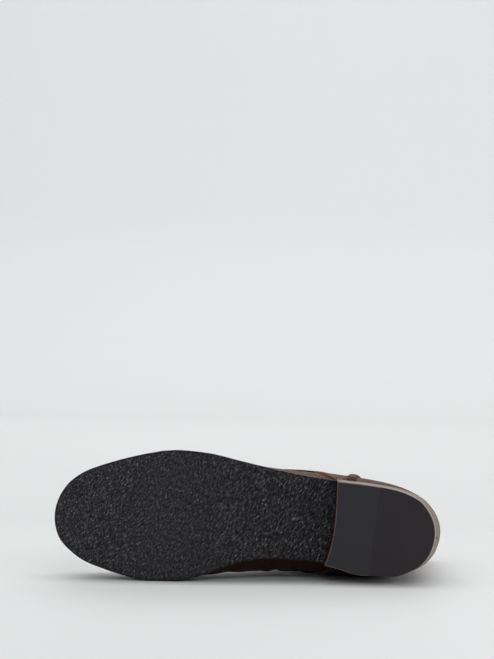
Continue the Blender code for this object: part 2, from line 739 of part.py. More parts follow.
def lying_matrix(points):
    """Turn from the boot's frame to the world: the boot lies on the hull facet under its balance
    point on the inner side, toe to -X and sole to -Y, its box centred over the origin."""
    bm = bmesh.new()
    for point in points:
        bm.verts.new(point)
    hull = bmesh.ops.convex_hull(bm, input=bm.verts)
    bmesh.ops.recalc_face_normals(bm, faces=bm.faces)
    start = Vector((BALANCE_X * MM, 0, BALANCE_Z * MM))
    floor_normal = None
    for face in hull["geom"]:
        if not isinstance(face, bmesh.types.BMFace) or face.normal.y > -0.5:
            continue
        depth = face.normal.dot(face.verts[0].co - start) / face.normal.y
        hit = start + Vector((0, depth, 0))
        if bmesh.geometry.intersect_face_point(face, hit):
            floor_normal = face.normal.copy()
    bm.free()
    up = -floor_normal
    left = (Vector((1, 0, 0)) - up * up.x).normalized()
    away = up.cross(-left)
    turn = Matrix((-left, away, up)).to_4x4()
    laid = [turn @ point for point in points]
    low = Vector([min(p[i] for p in laid) for i in range(3)])
    high = Vector([max(p[i] for p in laid) for i in range(3)])
    middle = (low + high) / 2
    return Matrix.Translation((-middle.x, -middle.y, -low.z)) @ turn


def build():
    for obj in list(bpy.data.objects):
        bpy.data.objects.remove(obj, do_unlink=True)
    scene = bpy.context.scene
    parts = bpy.data.collections.new("lace_up_ankle_boot")
    cutters = bpy.data.collections.new("cutters")
    scene.collection.children.link(parts)
    scene.collection.children.link(cutters)
    carrier = bpy.data.objects.new("boot", None)
    parts.objects.link(carrier)

    crepe = material("crepe_rubber", (0.030, 0.029, 0.031), 0.75)
    stack = material("stacked_leather", (0.36, 0.29, 0.25), 0.6)
    lift_front = material("lift_front", (0.028, 0.026, 0.032), 0.5)
    lift_rear = material("lift_rear", (0.024, 0.021, 0.025), 0.55)
    leather = material("brown_leather", (0.105, 0.042, 0.026), 0.35)
    lining = material("lining_leather", (0.40, 0.29, 0.20), 0.7)
    metal = material("aged_brass", (0.30, 0.21, 0.12), 0.35, 1.0)
    cord = material("lace_cord", (0.045, 0.022, 0.015), 0.8)

    outsole = new_object("outsole", outsole_mesh(), parts, carrier, crepe)
    add_bevel(outsole, SOLE_EDGE_ROUND)
    new_object("heel_stack", heel_stack_mesh(), parts, carrier, stack)
    for mesh, mat in zip(top_lift_meshes(), (lift_front, lift_rear)):
        new_object(mesh.name, mesh, parts, carrier, mat)
    new_object("insole", insole_mesh(), parts, carrier, lining)
    upper = new_object("upper", upper_mesh(), parts, carrier, leather)
    new_object("tongue", tongue_mesh(), parts, carrier, leather)
    new_object("side_strip", side_strip_mesh(), parts, carrier, leather)

    eyelets = eyelet_places()
    every = [(u, s) for side in (MEDIAL, LATERAL) for u, s in zip(*eyelets[side])]
    holes = new_object("eyelet_holes", hole_cutter_mesh(every), cutters, carrier)
    holes.hide_render = True
    holes.display_type = "WIRE"
    cut = upper.modifiers.new("eyelet_holes", "BOOLEAN")
    cut.operation = "DIFFERENCE"
    cut.object = holes

    ring = eyelet_mesh()
    ring.materials.append(metal)
    for side, word in ((MEDIAL, "medial"), (LATERAL, "lateral")):
        for k, (u, s) in enumerate(zip(*eyelets[side])):
            eyelet = new_object(f"eyelet_{word}_{k + 1}", ring, parts, carrier)
            eyelet.matrix_local = facing_frame(u, s)
            turn_profile(eyelet, 10)
    lace_object(eyelets, parts, carrier, cord)

    bpy.context.view_layer.update()
    solids = [obj for obj in parts.objects if obj.type == "MESH" and not obj.name.startswith("eyelet")]
    carrier.matrix_world = lying_matrix([vert.co.copy() for obj in solids for vert in obj.data.vertices])
    bpy.context.view_layer.update()


build()
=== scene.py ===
"""Looks of the lace-up ankle boot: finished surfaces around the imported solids, a pale sweep, soft light
and a camera at the photograph's angle.

Sizes are millimetres in the boot's own frame: x from the heel's back to the toe, y to the outer
(lateral) side, z up from the ground that the boot would stand on. The tables and the form of the last
repeat those of the solids.
"""

import json
import math
from collections import namedtuple

import bmesh
import bpy
import numpy as np
from mathutils import Matrix, Vector


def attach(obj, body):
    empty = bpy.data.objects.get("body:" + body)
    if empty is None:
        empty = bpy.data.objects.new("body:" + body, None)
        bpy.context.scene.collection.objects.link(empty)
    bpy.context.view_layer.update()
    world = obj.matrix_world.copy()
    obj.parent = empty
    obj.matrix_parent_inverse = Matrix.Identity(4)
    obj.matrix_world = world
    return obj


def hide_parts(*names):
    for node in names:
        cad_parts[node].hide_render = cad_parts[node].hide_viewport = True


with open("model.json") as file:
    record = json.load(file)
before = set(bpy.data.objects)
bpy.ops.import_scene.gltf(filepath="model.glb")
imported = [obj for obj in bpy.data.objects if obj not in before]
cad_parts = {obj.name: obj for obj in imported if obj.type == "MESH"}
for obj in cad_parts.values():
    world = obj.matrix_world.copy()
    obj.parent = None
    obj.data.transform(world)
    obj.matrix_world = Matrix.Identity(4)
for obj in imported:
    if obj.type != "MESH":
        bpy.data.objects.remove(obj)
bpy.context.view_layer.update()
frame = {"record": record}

MM = 0.001
MEDIAL, LATERAL = -1, 1
GAP = 0.3                  # clear space between neighbouring pieces
SOLE_GAP = 0.4             # the same between the upper and the sole

# Sole and heel
SOLE_LENGTH = 265.0
BALL_WIDTH = 91.0
SOLE_THICKNESS = 5.0
SOLE_EDGE_ROUND = 0.8
HEEL_HEIGHT = 25.0
HEEL_FRONT_HEIGHT = 20.5
TOE_SPRING = 10.0
TOP_LIFT_HEIGHT = 5.5
HEEL_TAPER_BACK = 3.0
HEEL_TAPER_SIDE = 0.7
HEEL_TAPER_REACH = 28.0
BREAST_LATERAL = 67.8
BREAST_SWEEP = 6.7
BREAST_CURVE = 3.5
BREAST_RAKE = 2.0
SPLIT_MIDDLE = 41.5
SPLIT_SLANT = -0.089
TOE_ARC_START = 244.0
HEEL_ARC_END = 20.0
INSOLE_ARC_END = 16.0

# Upper
WALL = 2.6
VAMP_STEP = 1.2
SEAM_RUN = 0.3
SECTION_PITCH = 12.0
EDGE_ROUND = 0.9           # rounding of the upper's free edges
INSOLE_THICKNESS = 2.5
INSOLE_INSET = 1.4
TONGUE_THICKNESS = 2.2
STRIP_WIDTH = 6.2
STRIP_HEIGHT = 1.6

# Lacing
EYELET_PAIRS = 7
EYELET_INSET = 7.5
EYELET_BORE = 1.8
EYELET_BARREL = 2.4
EYELET_FLANGE = 4.0
EYELET_TOP = 0.95
EYELET_END = -2.2
EYELET_FIRST = 0.9
EYELET_LAST = 0.75
LACE_RADIUS = 1.1

# Where the heel's mount lies along the boot, to find the boot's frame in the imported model
HEEL_REST_X = 28.0

SoleRow = namedtuple("SoleRow", "along medial lateral")
SOLE_ROWS = [
    SoleRow(0.000, 0.000, 0.000),
    SoleRow(0.015, 0.171, 0.149),
    SoleRow(0.045, 0.264, 0.248),
    SoleRow(0.106, 0.332, 0.316),
    SoleRow(0.181, 0.335, 0.346),
    SoleRow(0.260, 0.286, 0.363),
    SoleRow(0.332, 0.253, 0.387),
    SoleRow(0.426, 0.245, 0.433),
    SoleRow(0.506, 0.286, 0.481),
    SoleRow(0.604, 0.396, 0.536),
    SoleRow(0.672, 0.447, 0.547),
    SoleRow(0.740, 0.451, 0.521),
    SoleRow(0.804, 0.423, 0.475),
    SoleRow(0.868, 0.374, 0.415),
    SoleRow(0.913, 0.330, 0.363),
    SoleRow(0.958, 0.247, 0.275),
    SoleRow(0.985, 0.165, 0.170),
    SoleRow(1.000, 0.000, 0.000),
]

ProfileRow = namedtuple("ProfileRow", "along height")
SEAT_ROWS = [
    ProfileRow(0.00, HEEL_HEIGHT),
    ProfileRow(0.27, HEEL_FRONT_HEIGHT),
    ProfileRow(0.38, SOLE_THICKNESS + 9.5),
    ProfileRow(0.49, SOLE_THICKNESS + 3.2),
    ProfileRow(0.59, SOLE_THICKNESS),
    ProfileRow(0.76, SOLE_THICKNESS),
    ProfileRow(0.86, SOLE_THICKNESS + 0.2 * TOE_SPRING),
    ProfileRow(0.94, SOLE_THICKNESS + 0.58 * TOE_SPRING),
    ProfileRow(1.00, SOLE_THICKNESS + TOE_SPRING),
]

FeatherRow = namedtuple("FeatherRow", "along inset")
FEATHER_ROWS = [
    FeatherRow(0.00, 0.6),
    FeatherRow(0.10, 2.0),
    FeatherRow(0.26, 2.8),
    FeatherRow(0.45, 3.2),
    FeatherRow(0.60, 3.8),
    FeatherRow(0.75, 4.4),
    FeatherRow(1.00, 4.4),
]
FEATHER_BACK = FEATHER_ROWS[0].inset
FEATHER_TOE = SOLE_LENGTH - FEATHER_ROWS[-1].inset

Section = namedtuple("Section", "top_x rise base_x lift ridge medial lateral wide crown")
SECTIONS = [
    Section(FEATHER_TOE, 0.0, 243.0, 0.0, 0.0, 22.4, 25.3, 0.20, 1.65),
    Section(260.2, 9.0, 240.0, 0.0, 0.0, 24.4, 27.4, 0.26, 1.85),
    Section(257.3, 18.5, 234.0, 0.0, 0.0, 28.0, 31.0, 0.29, 2.05),
    Section(250.0, 26.0, 226.0, 0.0, 0.0, 30.6, 34.2, 0.30, 2.15),
    Section(238.0, 33.5, 215.0, 0.0, -0.5, 34.0, 38.4, 0.30, 2.25),
    Section(220.0, 41.0, 200.0, 0.0, -1.5, 37.6, 43.2, 0.30, 2.25),
    Section(198.0, 48.5, 183.0, 0.0, -2.5, 38.6, 46.9, 0.30, 2.15),
    Section(177.0, 56.5, 160.0, 0.0, -3.5, 36.2, 46.4, 0.30, 2.05),
    Section(161.0, 64.5, 132.0, 0.0, -4.0, 33.0, 41.8, 0.30, 1.95),
    Section(148.0, 73.0, 104.0, 0.0, -4.0, 31.3, 37.9, 0.30, 1.90),
    Section(137.5, 81.0, 76.0, 0.0, -3.5, 30.7, 36.0, 0.32, 1.90),
    Section(129.0, 89.5, 48.0, 0.0, -3.0, 31.5, 33.6, 0.33, 1.90),
    Section(122.5, 97.5, 24.0, 0.0, -2.5, 31.8, 31.4, 0.34, 1.95),
    Section(117.5, 105.0, 9.0, 0.0, -2.0, 31.4, 29.6, 0.36, 2.00),
    Section(113.5, 112.0, FEATHER_BACK, 0.0, -1.5, 31.0, 28.4, 0.38, 2.00),
    Section(110.0, 120.0, 1.0, 21.0, -1.0, 30.2, 27.2, 0.44, 2.05),
    Section(107.0, 128.0, 5.0, 45.0, -0.5, 28.8, 26.0, 0.47, 2.10),
    Section(104.8, 135.5, 9.0, 71.0, 0.0, 27.4, 25.0, 0.49, 2.10),
    Section(103.2, 141.5, 11.0, 96.0, 0.0, 26.8, 24.4, 0.50, 2.05),
    Section(102.0, 146.0, 10.5, 122.0, 0.0, 26.8, 24.0, 0.50, 2.05),
]
CLOSED_ROW = 14
COLLAR_ROW = len(SECTIONS) - 1
CROWN_SHARE = 0.58

SeamRow = namedtuple("SeamRow", "around section")
SEAM_ROWS = [
    SeamRow(0.00, 7.80),
    SeamRow(0.16, 7.84),
    SeamRow(0.28, 8.05),
    SeamRow(0.40, 8.95),
    SeamRow(0.50, 10.00),
    SeamRow(0.58, 10.32),
    SeamRow(0.75, 10.22),
    SeamRow(1.00, 10.20),
]
THROAT_ROW = SEAM_ROWS[0].section
THROAT_HALF_LOW = 5.5
THROAT_HALF_TOP = 9.0
THROAT_ROUND = 0.12

StripRow = namedtuple("StripRow", "height x")
STRIP_ROWS = [
    StripRow(24.0, 60.5),
    StripRow(45.0, 60.0),
    StripRow(80.0, 57.5),
    StripRow(115.0, 55.5),
    StripRow(150.5, 54.0),
]

TongueRow = namedtuple("TongueRow", "section half_width drop")
TONGUE_ROWS = [
    TongueRow(7.2, 13.0, 0.8),
    TongueRow(8.2, 17.0, 1.2),
    TongueRow(10.0, 20.0, 1.6),
    TongueRow(14.0, 22.0, 1.8),
    TongueRow(19.0, 22.5, 1.2),
    TongueRow(20.0, 20.0, 1.2),
    TongueRow(20.5, 14.0, 1.2),
]

Crease = namedtuple("Crease", "side x_low z_low x_high z_high width depth")
# Soft troughs in the upper, each along a line in the side view; a ridge swells beside each one.
CREASES = [
    Crease(MEDIAL, 110.0, 6.0, 111.5, 44.0, 2.6, 1.1),
    Crease(MEDIAL, 95.5, 8.0, 97.5, 46.0, 2.4, 1.1),
    Crease(MEDIAL, 138.0, 8.0, 146.0, 40.0, 4.5, 0.5),
    Crease(MEDIAL, 98.0, 80.0, 70.0, 66.0, 6.0, 1.0),
    Crease(MEDIAL, 102.0, 96.0, 66.0, 84.0, 6.5, 0.9),
    Crease(LATERAL, 98.0, 82.0, 68.0, 68.0, 6.0, 0.9),
    Crease(LATERAL, 103.0, 98.0, 64.0, 87.0, 6.5, 0.8),
    Crease(LATERAL, 172.0, 10.0, 186.0, 44.0, 5.0, 0.6),
    Crease(MEDIAL, 176.0, 10.0, 188.0, 44.0, 5.0, 0.6),
]
CREASE_SWAY, CREASE_SWAY_RUN = 2.0, 9.0    # how far a crease wanders, and over what length
CREASE_FADE = 0.3                          # share of its length over which a crease dies away
CREASE_STARTS, CREASE_FULL = 6.0, 18.0     # distances from the middle plane


def boot_frame():
    """Place of the boot's frame in the world, from the two faces that it can stand on."""
    mounts = {mount["name"]: mount for mount in frame["record"]["mounts"]}
    heel = Vector(mounts["heel_rest"]["pos_m"])
    ball = Vector(mounts["forefoot_rest"]["pos_m"])
    up = -Vector(mounts["heel_rest"]["axis"]).normalized()
    toe = ball - heel
    toe = (toe - up * toe.dot(up)).normalized()
    turn = Matrix((toe, up.cross(toe), up)).transposed().to_4x4()
    return Matrix.Translation(heel - toe * HEEL_REST_X * MM) @ turn


BOOT = boot_frame()
TO_WORLD = np.array(BOOT)


# Curves through short tables

def through_rows(x, xs, ys):
    """Monotone cubic through (xs, ys), read at x, running on straight past the last row."""
    x = np.asarray(x, float)
    xs = np.asarray(xs, float)
    ys = np.asarray(ys, float)
    step = np.diff(xs)
    slope = np.diff(ys) / step
    tangent = np.zeros_like(ys)
    product = slope[:-1] * slope[1:]
    total = np.where(product > 0, slope[:-1] + slope[1:], 1.0)
    tangent[1:-1] = np.where(product > 0, 2 * product / total, 0.0)
    tangent[0], tangent[-1] = slope[0], slope[-1]
    i = np.clip(np.searchsorted(xs, x, side="right") - 1, 0, len(step) - 1)
    t = np.clip((x - xs[i]) / step[i], 0.0, 1.0)
    value = (ys[i] * (1 + 2 * t) * (1 - t) ** 2 + ys[i + 1] * t * t * (3 - 2 * t)
             + step[i] * (tangent[i] * t * (1 - t) ** 2 - tangent[i + 1] * t * t * (1 - t)))
    return value + np.maximum(x - xs[-1], 0.0) * tangent[-1]


def read_table(rows, x, column):
    return through_rows(x, [row[0] for row in rows], [getattr(row, column) for row in rows])


def read_sections(u, column):
    return through_rows(u, range(len(SECTIONS)), [getattr(row, column) for row in SECTIONS])


def seat_height(x):
    return read_table(SEAT_ROWS, np.asarray(x) / SOLE_LENGTH, "height")


def smooth_step(x, start, end):
    """From 0 at start to 1 at end, whichever of them is larger."""
    t = np.clip((np.asarray(x, float) - start) / (end - start), 0.0, 1.0)
    return t * t * (3 - 2 * t)


HASH_FACTORS = (374761393, 668265263, 974711)
HASH_SCRAMBLE = 1274126177
HASH_WORD = 0xFFFFFFFF


def lattice(ix, iy, seed):
    """Repeatable angle for each corner of a square lattice."""
    across, along, shift = HASH_FACTORS
    h = (ix.astype(np.int64) * across + iy.astype(np.int64) * along + seed * shift) & HASH_WORD
    h = ((h ^ (h >> 13)) * HASH_SCRAMBLE) & HASH_WORD
    return ((h ^ (h >> 16)) & 0xFFFF) * (2 * np.pi / 65536)


def noise_field(x, y, seed):
    """Smooth gradient noise between about -0.7 and 0.7, one lattice cell per unit."""
    ix, iy = np.floor(x), np.floor(y)
    fx, fy = x - ix, y - iy
    wx = fx ** 3 * (fx * (fx * 6 - 15) + 10)
    wy = fy ** 3 * (fy * (fy * 6 - 15) + 10)
    value = 0.0
    for dx, weight_x in ((0, 1 - wx), (1, wx)):
        for dy, weight_y in ((0, 1 - wy), (1, wy)):
            angle = lattice(ix + dx, iy + dy, seed)
            slope = np.cos(angle) * (fx - dx) + np.sin(angle) * (fy - dy)
            value = value + weight_x * weight_y * slope
    return value


DOME_RISE = 0.75           # in lattice cells, from a trough to the dome's full height
FAR = 9.0                  # farther, in lattice cells, than any neighbour


def cell_dome(x, y, seed):
    """Rounded domes with sharp troughs between them, one for each point of a jittered lattice."""
    ix, iy = np.floor(x), np.floor(y)
    nearest, second = np.full(x.shape, FAR), np.full(x.shape, FAR)
    for dx in (-1, 0, 1):
        for dy in (-1, 0, 1):
            at_x = ix + dx + lattice(ix + dx, iy + dy, seed) / (2 * np.pi)
            at_y = iy + dy + lattice(ix + dx, iy + dy, seed + 1) / (2 * np.pi)
            away = np.hypot(at_x - x, at_y - y)
            second = np.minimum(second, np.maximum(nearest, away))
            nearest = np.minimum(nearest, away)
    return 1 - (1 - np.clip((second - nearest) / DOME_RISE, 0, 1)) ** 2


# Plan of the sole

def half_width(x, side):
    column = "lateral" if side == LATERAL else "medial"
    squares = [getattr(row, column) ** 2 for row in SOLE_ROWS]
    share = through_rows(np.asarray(x) / SOLE_LENGTH, [row.along for row in SOLE_ROWS], squares)
    return BALL_WIDTH * np.sqrt(np.maximum(share, 0.0))


def x_at(t):
    return SOLE_LENGTH * (1 - np.cos(np.pi * np.asarray(t))) / 2


def t_at(x):
    return np.arccos(1 - 2 * np.asarray(x) / SOLE_LENGTH) / np.pi


def edge_point(t, side, inset):
    """Plan point on one side; t runs from the heel's back (0) to the toe tip (1)."""
    t = np.asarray(t, float)
    nudge = 1e-4

    def bare(values):
        x = x_at(values)
        return np.stack([x, side * half_width(x, side) * np.sign(np.sin(np.pi * values))], -1)

    along = bare(t + nudge) - bare(t - nudge)
    along /= np.linalg.norm(along, axis=-1, keepdims=True)
    inward = side * np.stack([along[..., 1], -along[..., 0]], -1)
    return bare(t) + inward * np.asarray(inset)[..., None]


def heel_overhang(t):
    """How far the heel's seat stands out past its walking face, as a negative inset."""
    back = np.clip(1 - x_at(t) / HEEL_TAPER_REACH, 0, 1) ** 2
    return -(HEEL_TAPER_SIDE + (HEEL_TAPER_BACK - HEEL_TAPER_SIDE) * back)


def feather_inset(t):
    """How far the upper stands in from the sole's edge."""
    return read_table(FEATHER_ROWS, x_at(t) / SOLE_LENGTH, "inset")


def feather_half(x, side):
    t = np.linspace(0, 1, 400)
    curve = edge_point(t, side, feather_inset(t))
    return np.interp(x, curve[:, 0], side * curve[:, 1], left=0.0, right=0.0)


def breast_x(y):
    outer = half_width(BREAST_LATERAL, LATERAL)
    inner = half_width(BREAST_LATERAL + BREAST_SWEEP, MEDIAL)
    share = np.clip((outer - y) / (outer + inner), 0, 1)
    return BREAST_LATERAL + BREAST_SWEEP * share ** BREAST_CURVE


def split_x(y):
    return SPLIT_MIDDLE + SPLIT_SLANT * y


def end_line(t_end, end, inset, columns):
    """Plan points around the toe or the heel's back, from the inner side to the outer."""
    half = np.linspace(t_end, end, columns // 2 + 1)
    inner = edge_point(half, MEDIAL, inset(half))
    outer = edge_point(half[::-1], LATERAL, inset(half[::-1]))
    return np.concatenate([inner[:-1], (inner[-1:] + outer[:1]) / 2, outer[1:]])


def cross_line(line, shift, inset, columns):
    """Plan points along a line from edge to edge, from the inner side to the outer."""
    ends = []
    for side in (MEDIAL, LATERAL):
        x = line(side * BALL_WIDTH / 3)
        for _ in range(6):
            t = t_at(x)
            y = edge_point(t, side, inset(t))[1]
            x = line(y) + shift
        ends.append(y)
    y = np.linspace(ends[0], ends[1], columns + 1)
    return np.stack([line(y) + shift, y], -1)


def plan_grid(rear, front, inset, rows):
    """Plan points between a rear and a front line, with the sole's edges at both sides."""
    columns = len(rear) - 1
    sides = []
    for side, j in ((MEDIAL, 0), (LATERAL, columns)):
        t = np.linspace(t_at(max(rear[j, 0], 0.0)), t_at(front[j, 0]), rows + 1)
        curve = edge_point(t, side, inset(t))
        curve[0], curve[-1] = rear[j], front[j]
        sides.append(curve)
    a = np.linspace(0, 1, rows + 1)[:, None, None]
    b = np.linspace(0, 1, columns + 1)[None, :, None]
    left, right = sides[0][:, None], sides[1][:, None]
    ruled = (1 - a) * rear[None] + a * front[None] + (1 - b) * left + b * right
    corners = ((1 - a) * ((1 - b) * rear[0] + b * rear[-1]) + a * ((1 - b) * front[0] + b * front[-1]))
    return ruled - corners


def constant_inset(value):
    return lambda t: np.full_like(np.asarray(t, float), value)


# Form of the last

TINY = 1e-6
HALVINGS = 40


def as_grids(a, b):
    return np.broadcast_arrays(np.asarray(a, float), np.asarray(b, float))


def last_point(u, s):
    """Point of the last. u counts sections from the toe, s runs from the inner base (-1) over the
    ridge (0) to the outer base (1)."""
    u, s = as_grids(u, s)
    section = {name: read_sections(u, name) for name in Section._fields}
    outer = s >= 0
    widest = np.where(outer, section["lateral"], -section["medial"])
    foot = np.where(outer, feather_half(section["base_x"], LATERAL),
                    feather_half(section["base_x"], MEDIAL))
    share = np.where(u < CLOSED_ROW, foot, 0.0) / np.abs(widest)
    around = np.abs(s)

    arch = (1 - np.minimum(around / CROWN_SHARE, 1)) * np.pi / 2
    power = 2 / section["crown"]
    arch_y = section["ridge"] + (widest - section["ridge"]) * np.cos(arch) ** power
    arch_h = section["wide"] + (1 - section["wide"]) * np.sin(arch) ** power

    down = np.clip((around - CROWN_SHARE) / (1 - CROWN_SHARE), 0, 1)
    end = np.arccos(np.clip(share, 0, 1))
    turned = end > 1e-3
    ratio = np.where(turned, np.sin(down * end) / np.where(turned, np.sin(end), 1), down)
    tucked = widest * np.cos(down * end)
    flared = widest * (1 + (share - 1) * down)
    wall_y = np.where(share < 1, tucked, flared)
    wall_h = section["wide"] * (1 - ratio)

    low = around > CROWN_SHARE
    y = np.where(low, wall_y, arch_y)
    h = np.where(low, wall_h, arch_h)
    base_z = seat_height(section["base_x"]) + SOLE_GAP + section["lift"]
    top_z = seat_height(section["top_x"]) + SOLE_GAP + section["rise"]
    x = section["base_x"] + h * (section["top_x"] - section["base_x"])
    z = base_z + h * (top_z - base_z)
    return np.stack([x, y, z], -1)


def on_sole(u, s):
    return (u < TINY) | ((np.abs(s) > 1 - TINY) & (u <= CLOSED_ROW + TINY))


def last_normal(u, s):
    """Outward normal of the last; level where the wall stands on the sole, in the middle plane at
    the back seam."""
    u, s = as_grids(u, s)
    du, ds = 0.02, 0.004
    along = last_point(u + du, s) - last_point(np.maximum(u - du, 0), s)
    across = last_point(u, np.minimum(s + ds, 1)) - last_point(u, np.maximum(s - ds, -1))
    normal = np.cross(across, along)
    at_base = np.abs(s) > 1 - TINY
    normal[..., 1] = np.where(at_base & (u >= CLOSED_ROW - TINY), 0, normal[..., 1])
    normal[..., 2] = np.where(on_sole(u, s), 0, normal[..., 2])
    return normal / np.linalg.norm(normal, axis=-1, keepdims=True)


def off_last(u, s, height):
    """Point at a height over the last, along its normal, with the creases; the foot of the wall
    follows the sole."""
    u, s = as_grids(u, s)
    start = last_point(u, s)
    lift = np.asarray(height) + crease_lift(start)
    point = start + last_normal(u, s) * lift[..., None]
    climb = seat_height(point[..., 0]) - seat_height(start[..., 0])
    point[..., 2] += np.where(on_sole(u, s), climb, 0.0)
    return point


def crease_lift(point):
    """Height of the creases at points of the last: troughs below it, lower ridges beside them."""
    x, y, z = point[..., 0], point[..., 1], point[..., 2]
    lift = np.zeros(x.shape)
    for crease in CREASES:
        start = np.array([crease.x_low, crease.z_low])
        run = np.array([crease.x_high, crease.z_high]) - start
        length = np.linalg.norm(run)
        run /= length
        along = (x - start[0]) * run[0] + (z - start[1]) * run[1]
        across = -(x - start[0]) * run[1] + (z - start[1]) * run[0]
        across = across + CREASE_SWAY * np.sin(along / CREASE_SWAY_RUN)
        fade = CREASE_FADE * length
        ends = smooth_step(along, -fade, fade) * smooth_step(length - along, -fade, fade)
        own_side = smooth_step(crease.side * y, CREASE_STARTS, CREASE_FULL)
        trough = -np.exp(-(across / crease.width) ** 2)
        ridges = 0.5 * (np.exp(-((across - 2 * crease.width) / crease.width) ** 2)
                        + np.exp(-((across + 2 * crease.width) / crease.width) ** 2))
        lift += crease.depth * ends * own_side * (trough + ridges)
    return lift


def around_at(u, y, side):
    """Where around the section the arch lies y millimetres to one side of its ridge."""
    widest = read_sections(u, "lateral" if side == LATERAL else "medial")
    share = np.clip(y / (widest - side * read_sections(u, "ridge")), 0, 1)
    arch = np.arccos(share ** (read_sections(u, "crown") / 2))
    return CROWN_SHARE * (1 - arch / (np.pi / 2))


def throat_half(u):
    up = np.clip((np.asarray(u) - THROAT_ROW) / (COLLAR_ROW - THROAT_ROW), 0, 1)
    start = np.sqrt(np.clip(up / THROAT_ROUND, 0, 1))
    return start * (THROAT_HALF_LOW + (THROAT_HALF_TOP - THROAT_HALF_LOW) * up)


def place_on_side(x, z, side):
    """The (u, s) of the points that the side view shows at (x, z)."""
    x, z = as_grids(x, z)
    low, high = np.zeros(x.shape), np.full(x.shape, COLLAR_ROW + 1.0)
    for _ in range(HALVINGS):
        u = (low + high) / 2
        base, top = last_point(u, side), last_point(u, 0.0)
        run = top - base
        ahead = run[..., 0] * (z - base[..., 2]) > run[..., 2] * (x - base[..., 0])
        low, high = np.where(ahead, u, low), np.where(ahead, high, u)
    near, far = np.zeros(x.shape), np.ones(x.shape)
    for _ in range(HALVINGS):
        around = (near + far) / 2
        point = last_point(u, side * around)
        short = (point[..., 0] - x) * run[..., 0] + (point[..., 2] - z) * run[..., 2] > 0
        near, far = np.where(short, around, near), np.where(short, far, around)
    return u, side * around


# Meshes and pieces

SHARP_ANGLE = 50           # degrees; a sharper fold keeps its edge
FLOOR_CLEARANCE = 0.05


def above_floor(points):
    """The same points in the boot's frame, with what would lie under the floor pressed flat on it."""
    world = points * MM @ TO_WORLD[:3, :3].T + TO_WORLD[:3, 3]
    world[:, 2] = np.maximum(world[:, 2], FLOOR_CLEARANCE * MM)
    return (world - TO_WORLD[:3, 3]) @ TO_WORLD[:3, :3] / MM


def mesh_from(name, points, faces, material_index=None, sharp_angle=SHARP_ANGLE, uv=None):
    points = above_floor(np.asarray(points, float))
    mesh = bpy.data.meshes.new(name)
    mesh.from_pydata((points * MM).tolist(), [], faces)
    if material_index is not None:
        mesh.polygons.foreach_set("material_index", np.asarray(material_index, np.int32))
    bm = bmesh.new()
    bm.from_mesh(mesh)
    bmesh.ops.recalc_face_normals(bm, faces=bm.faces)
    bm.to_mesh(mesh)
    bm.free()
    if uv is not None:
        layer = mesh.uv_layers.new(name="along")
        corner = np.zeros(len(mesh.loops), np.int32)
        mesh.loops.foreach_get("vertex_index", corner)
        layer.data.foreach_set("uv", np.asarray(uv, np.float32)[corner].ravel())
    mesh.shade_smooth()
    mesh.set_sharp_from_angle(angle=math.radians(sharp_angle))
    return mesh


def grid_quads(corners):
    """Quads between neighbours in a grid of corner numbers."""
    quads = [corners[:-1, :-1], corners[:-1, 1:], corners[1:, 1:], corners[1:, :-1]]
    return np.stack(quads, -1).reshape(-1, 4)


def band(low, high):
    """Quads once around between two closed rings of corner numbers."""
    return np.stack([low, np.roll(low, -1), np.roll(high, -1), high], -1).tolist()


def ring_faces(count, length):
    """Faces along a row of rings, closed at both ends."""
    rings = np.arange(count * length).reshape(count, length)
    faces = []
    for low, high in zip(rings, rings[1:]):
        faces += band(low, high)
    return faces + [rings[0].tolist(), rings[-1].tolist()]


def at_height(plan, height):
    """Grid of points over a plan, at one height or at one for each point."""
    return np.concatenate([plan, np.broadcast_to(height, plan.shape[:2] + (1,))], -1)


def shell(name, low_grids, high_grids):
    """Closed mesh between two sheets of matching grids. Material 0 is the high sheet and the rim, 1 the
    low sheet. Points of the low sheet that coincide are one corner."""
    low = np.concatenate([grid.reshape(-1, 3) for grid in low_grids])
    high = np.concatenate([grid.reshape(-1, 3) for grid in high_grids])
    _, first, index = np.unique(np.round(low, 3), axis=0, return_index=True, return_inverse=True)
    index = index.ravel()
    low, high = low[first], high[first]
    quads, base = [], 0
    for grid in low_grids:
        rows, columns = grid.shape[:2]
        quads.append(grid_quads(base + np.arange(rows * columns).reshape(rows, columns)))
        base += rows * columns
    faces, use = [], {}
    for quad in index[np.concatenate(quads)].tolist():
        ring = [corner for k, corner in enumerate(quad) if corner != quad[k - 1]]
        if len(ring) < 3:
            continue
        faces.append(ring)
        for a, b in zip(ring, ring[1:] + ring[:1]):
            key = (min(a, b), max(a, b))
            use[key] = None if key in use else (a, b)
    count = len(low)
    outside = [[corner + count for corner in reversed(ring)] for ring in faces]
    rim = [[b, a, a + count, b + count] for a, b in (pair for pair in use.values() if pair)]
    kinds = [1] * len(faces) + [0] * (len(outside) + len(rim))
    return mesh_from(name, np.concatenate([low, high]), faces + outside + rim, kinds)


def tube(path, radius, sides=10):
    """Round tube with closed ends along a path; the UV map runs around it and along it in millimetres."""
    ahead = np.gradient(path, axis=0)
    ahead /= np.linalg.norm(ahead, axis=1, keepdims=True)
    across = np.zeros_like(path)
    guide = np.cross(ahead[0], [0.0, 0.0, 1.0])
    for i, direction in enumerate(ahead):
        guide = guide - direction * guide.dot(direction)
        guide /= np.linalg.norm(guide)
        across[i] = guide
    second = np.cross(ahead, across)
    angle = np.linspace(0, 2 * np.pi, sides, endpoint=False)
    ring = across[:, None] * np.cos(angle)[None, :, None] + second[:, None] * np.sin(angle)[None, :, None]
    points = (path[:, None] + radius * ring).reshape(-1, 3)
    uv = np.stack(np.broadcast_arrays(angle[None] / (2 * np.pi), run_length(path, 0)[:, None]), -1)
    return points, ring_faces(len(path), sides), uv.reshape(-1, 2)


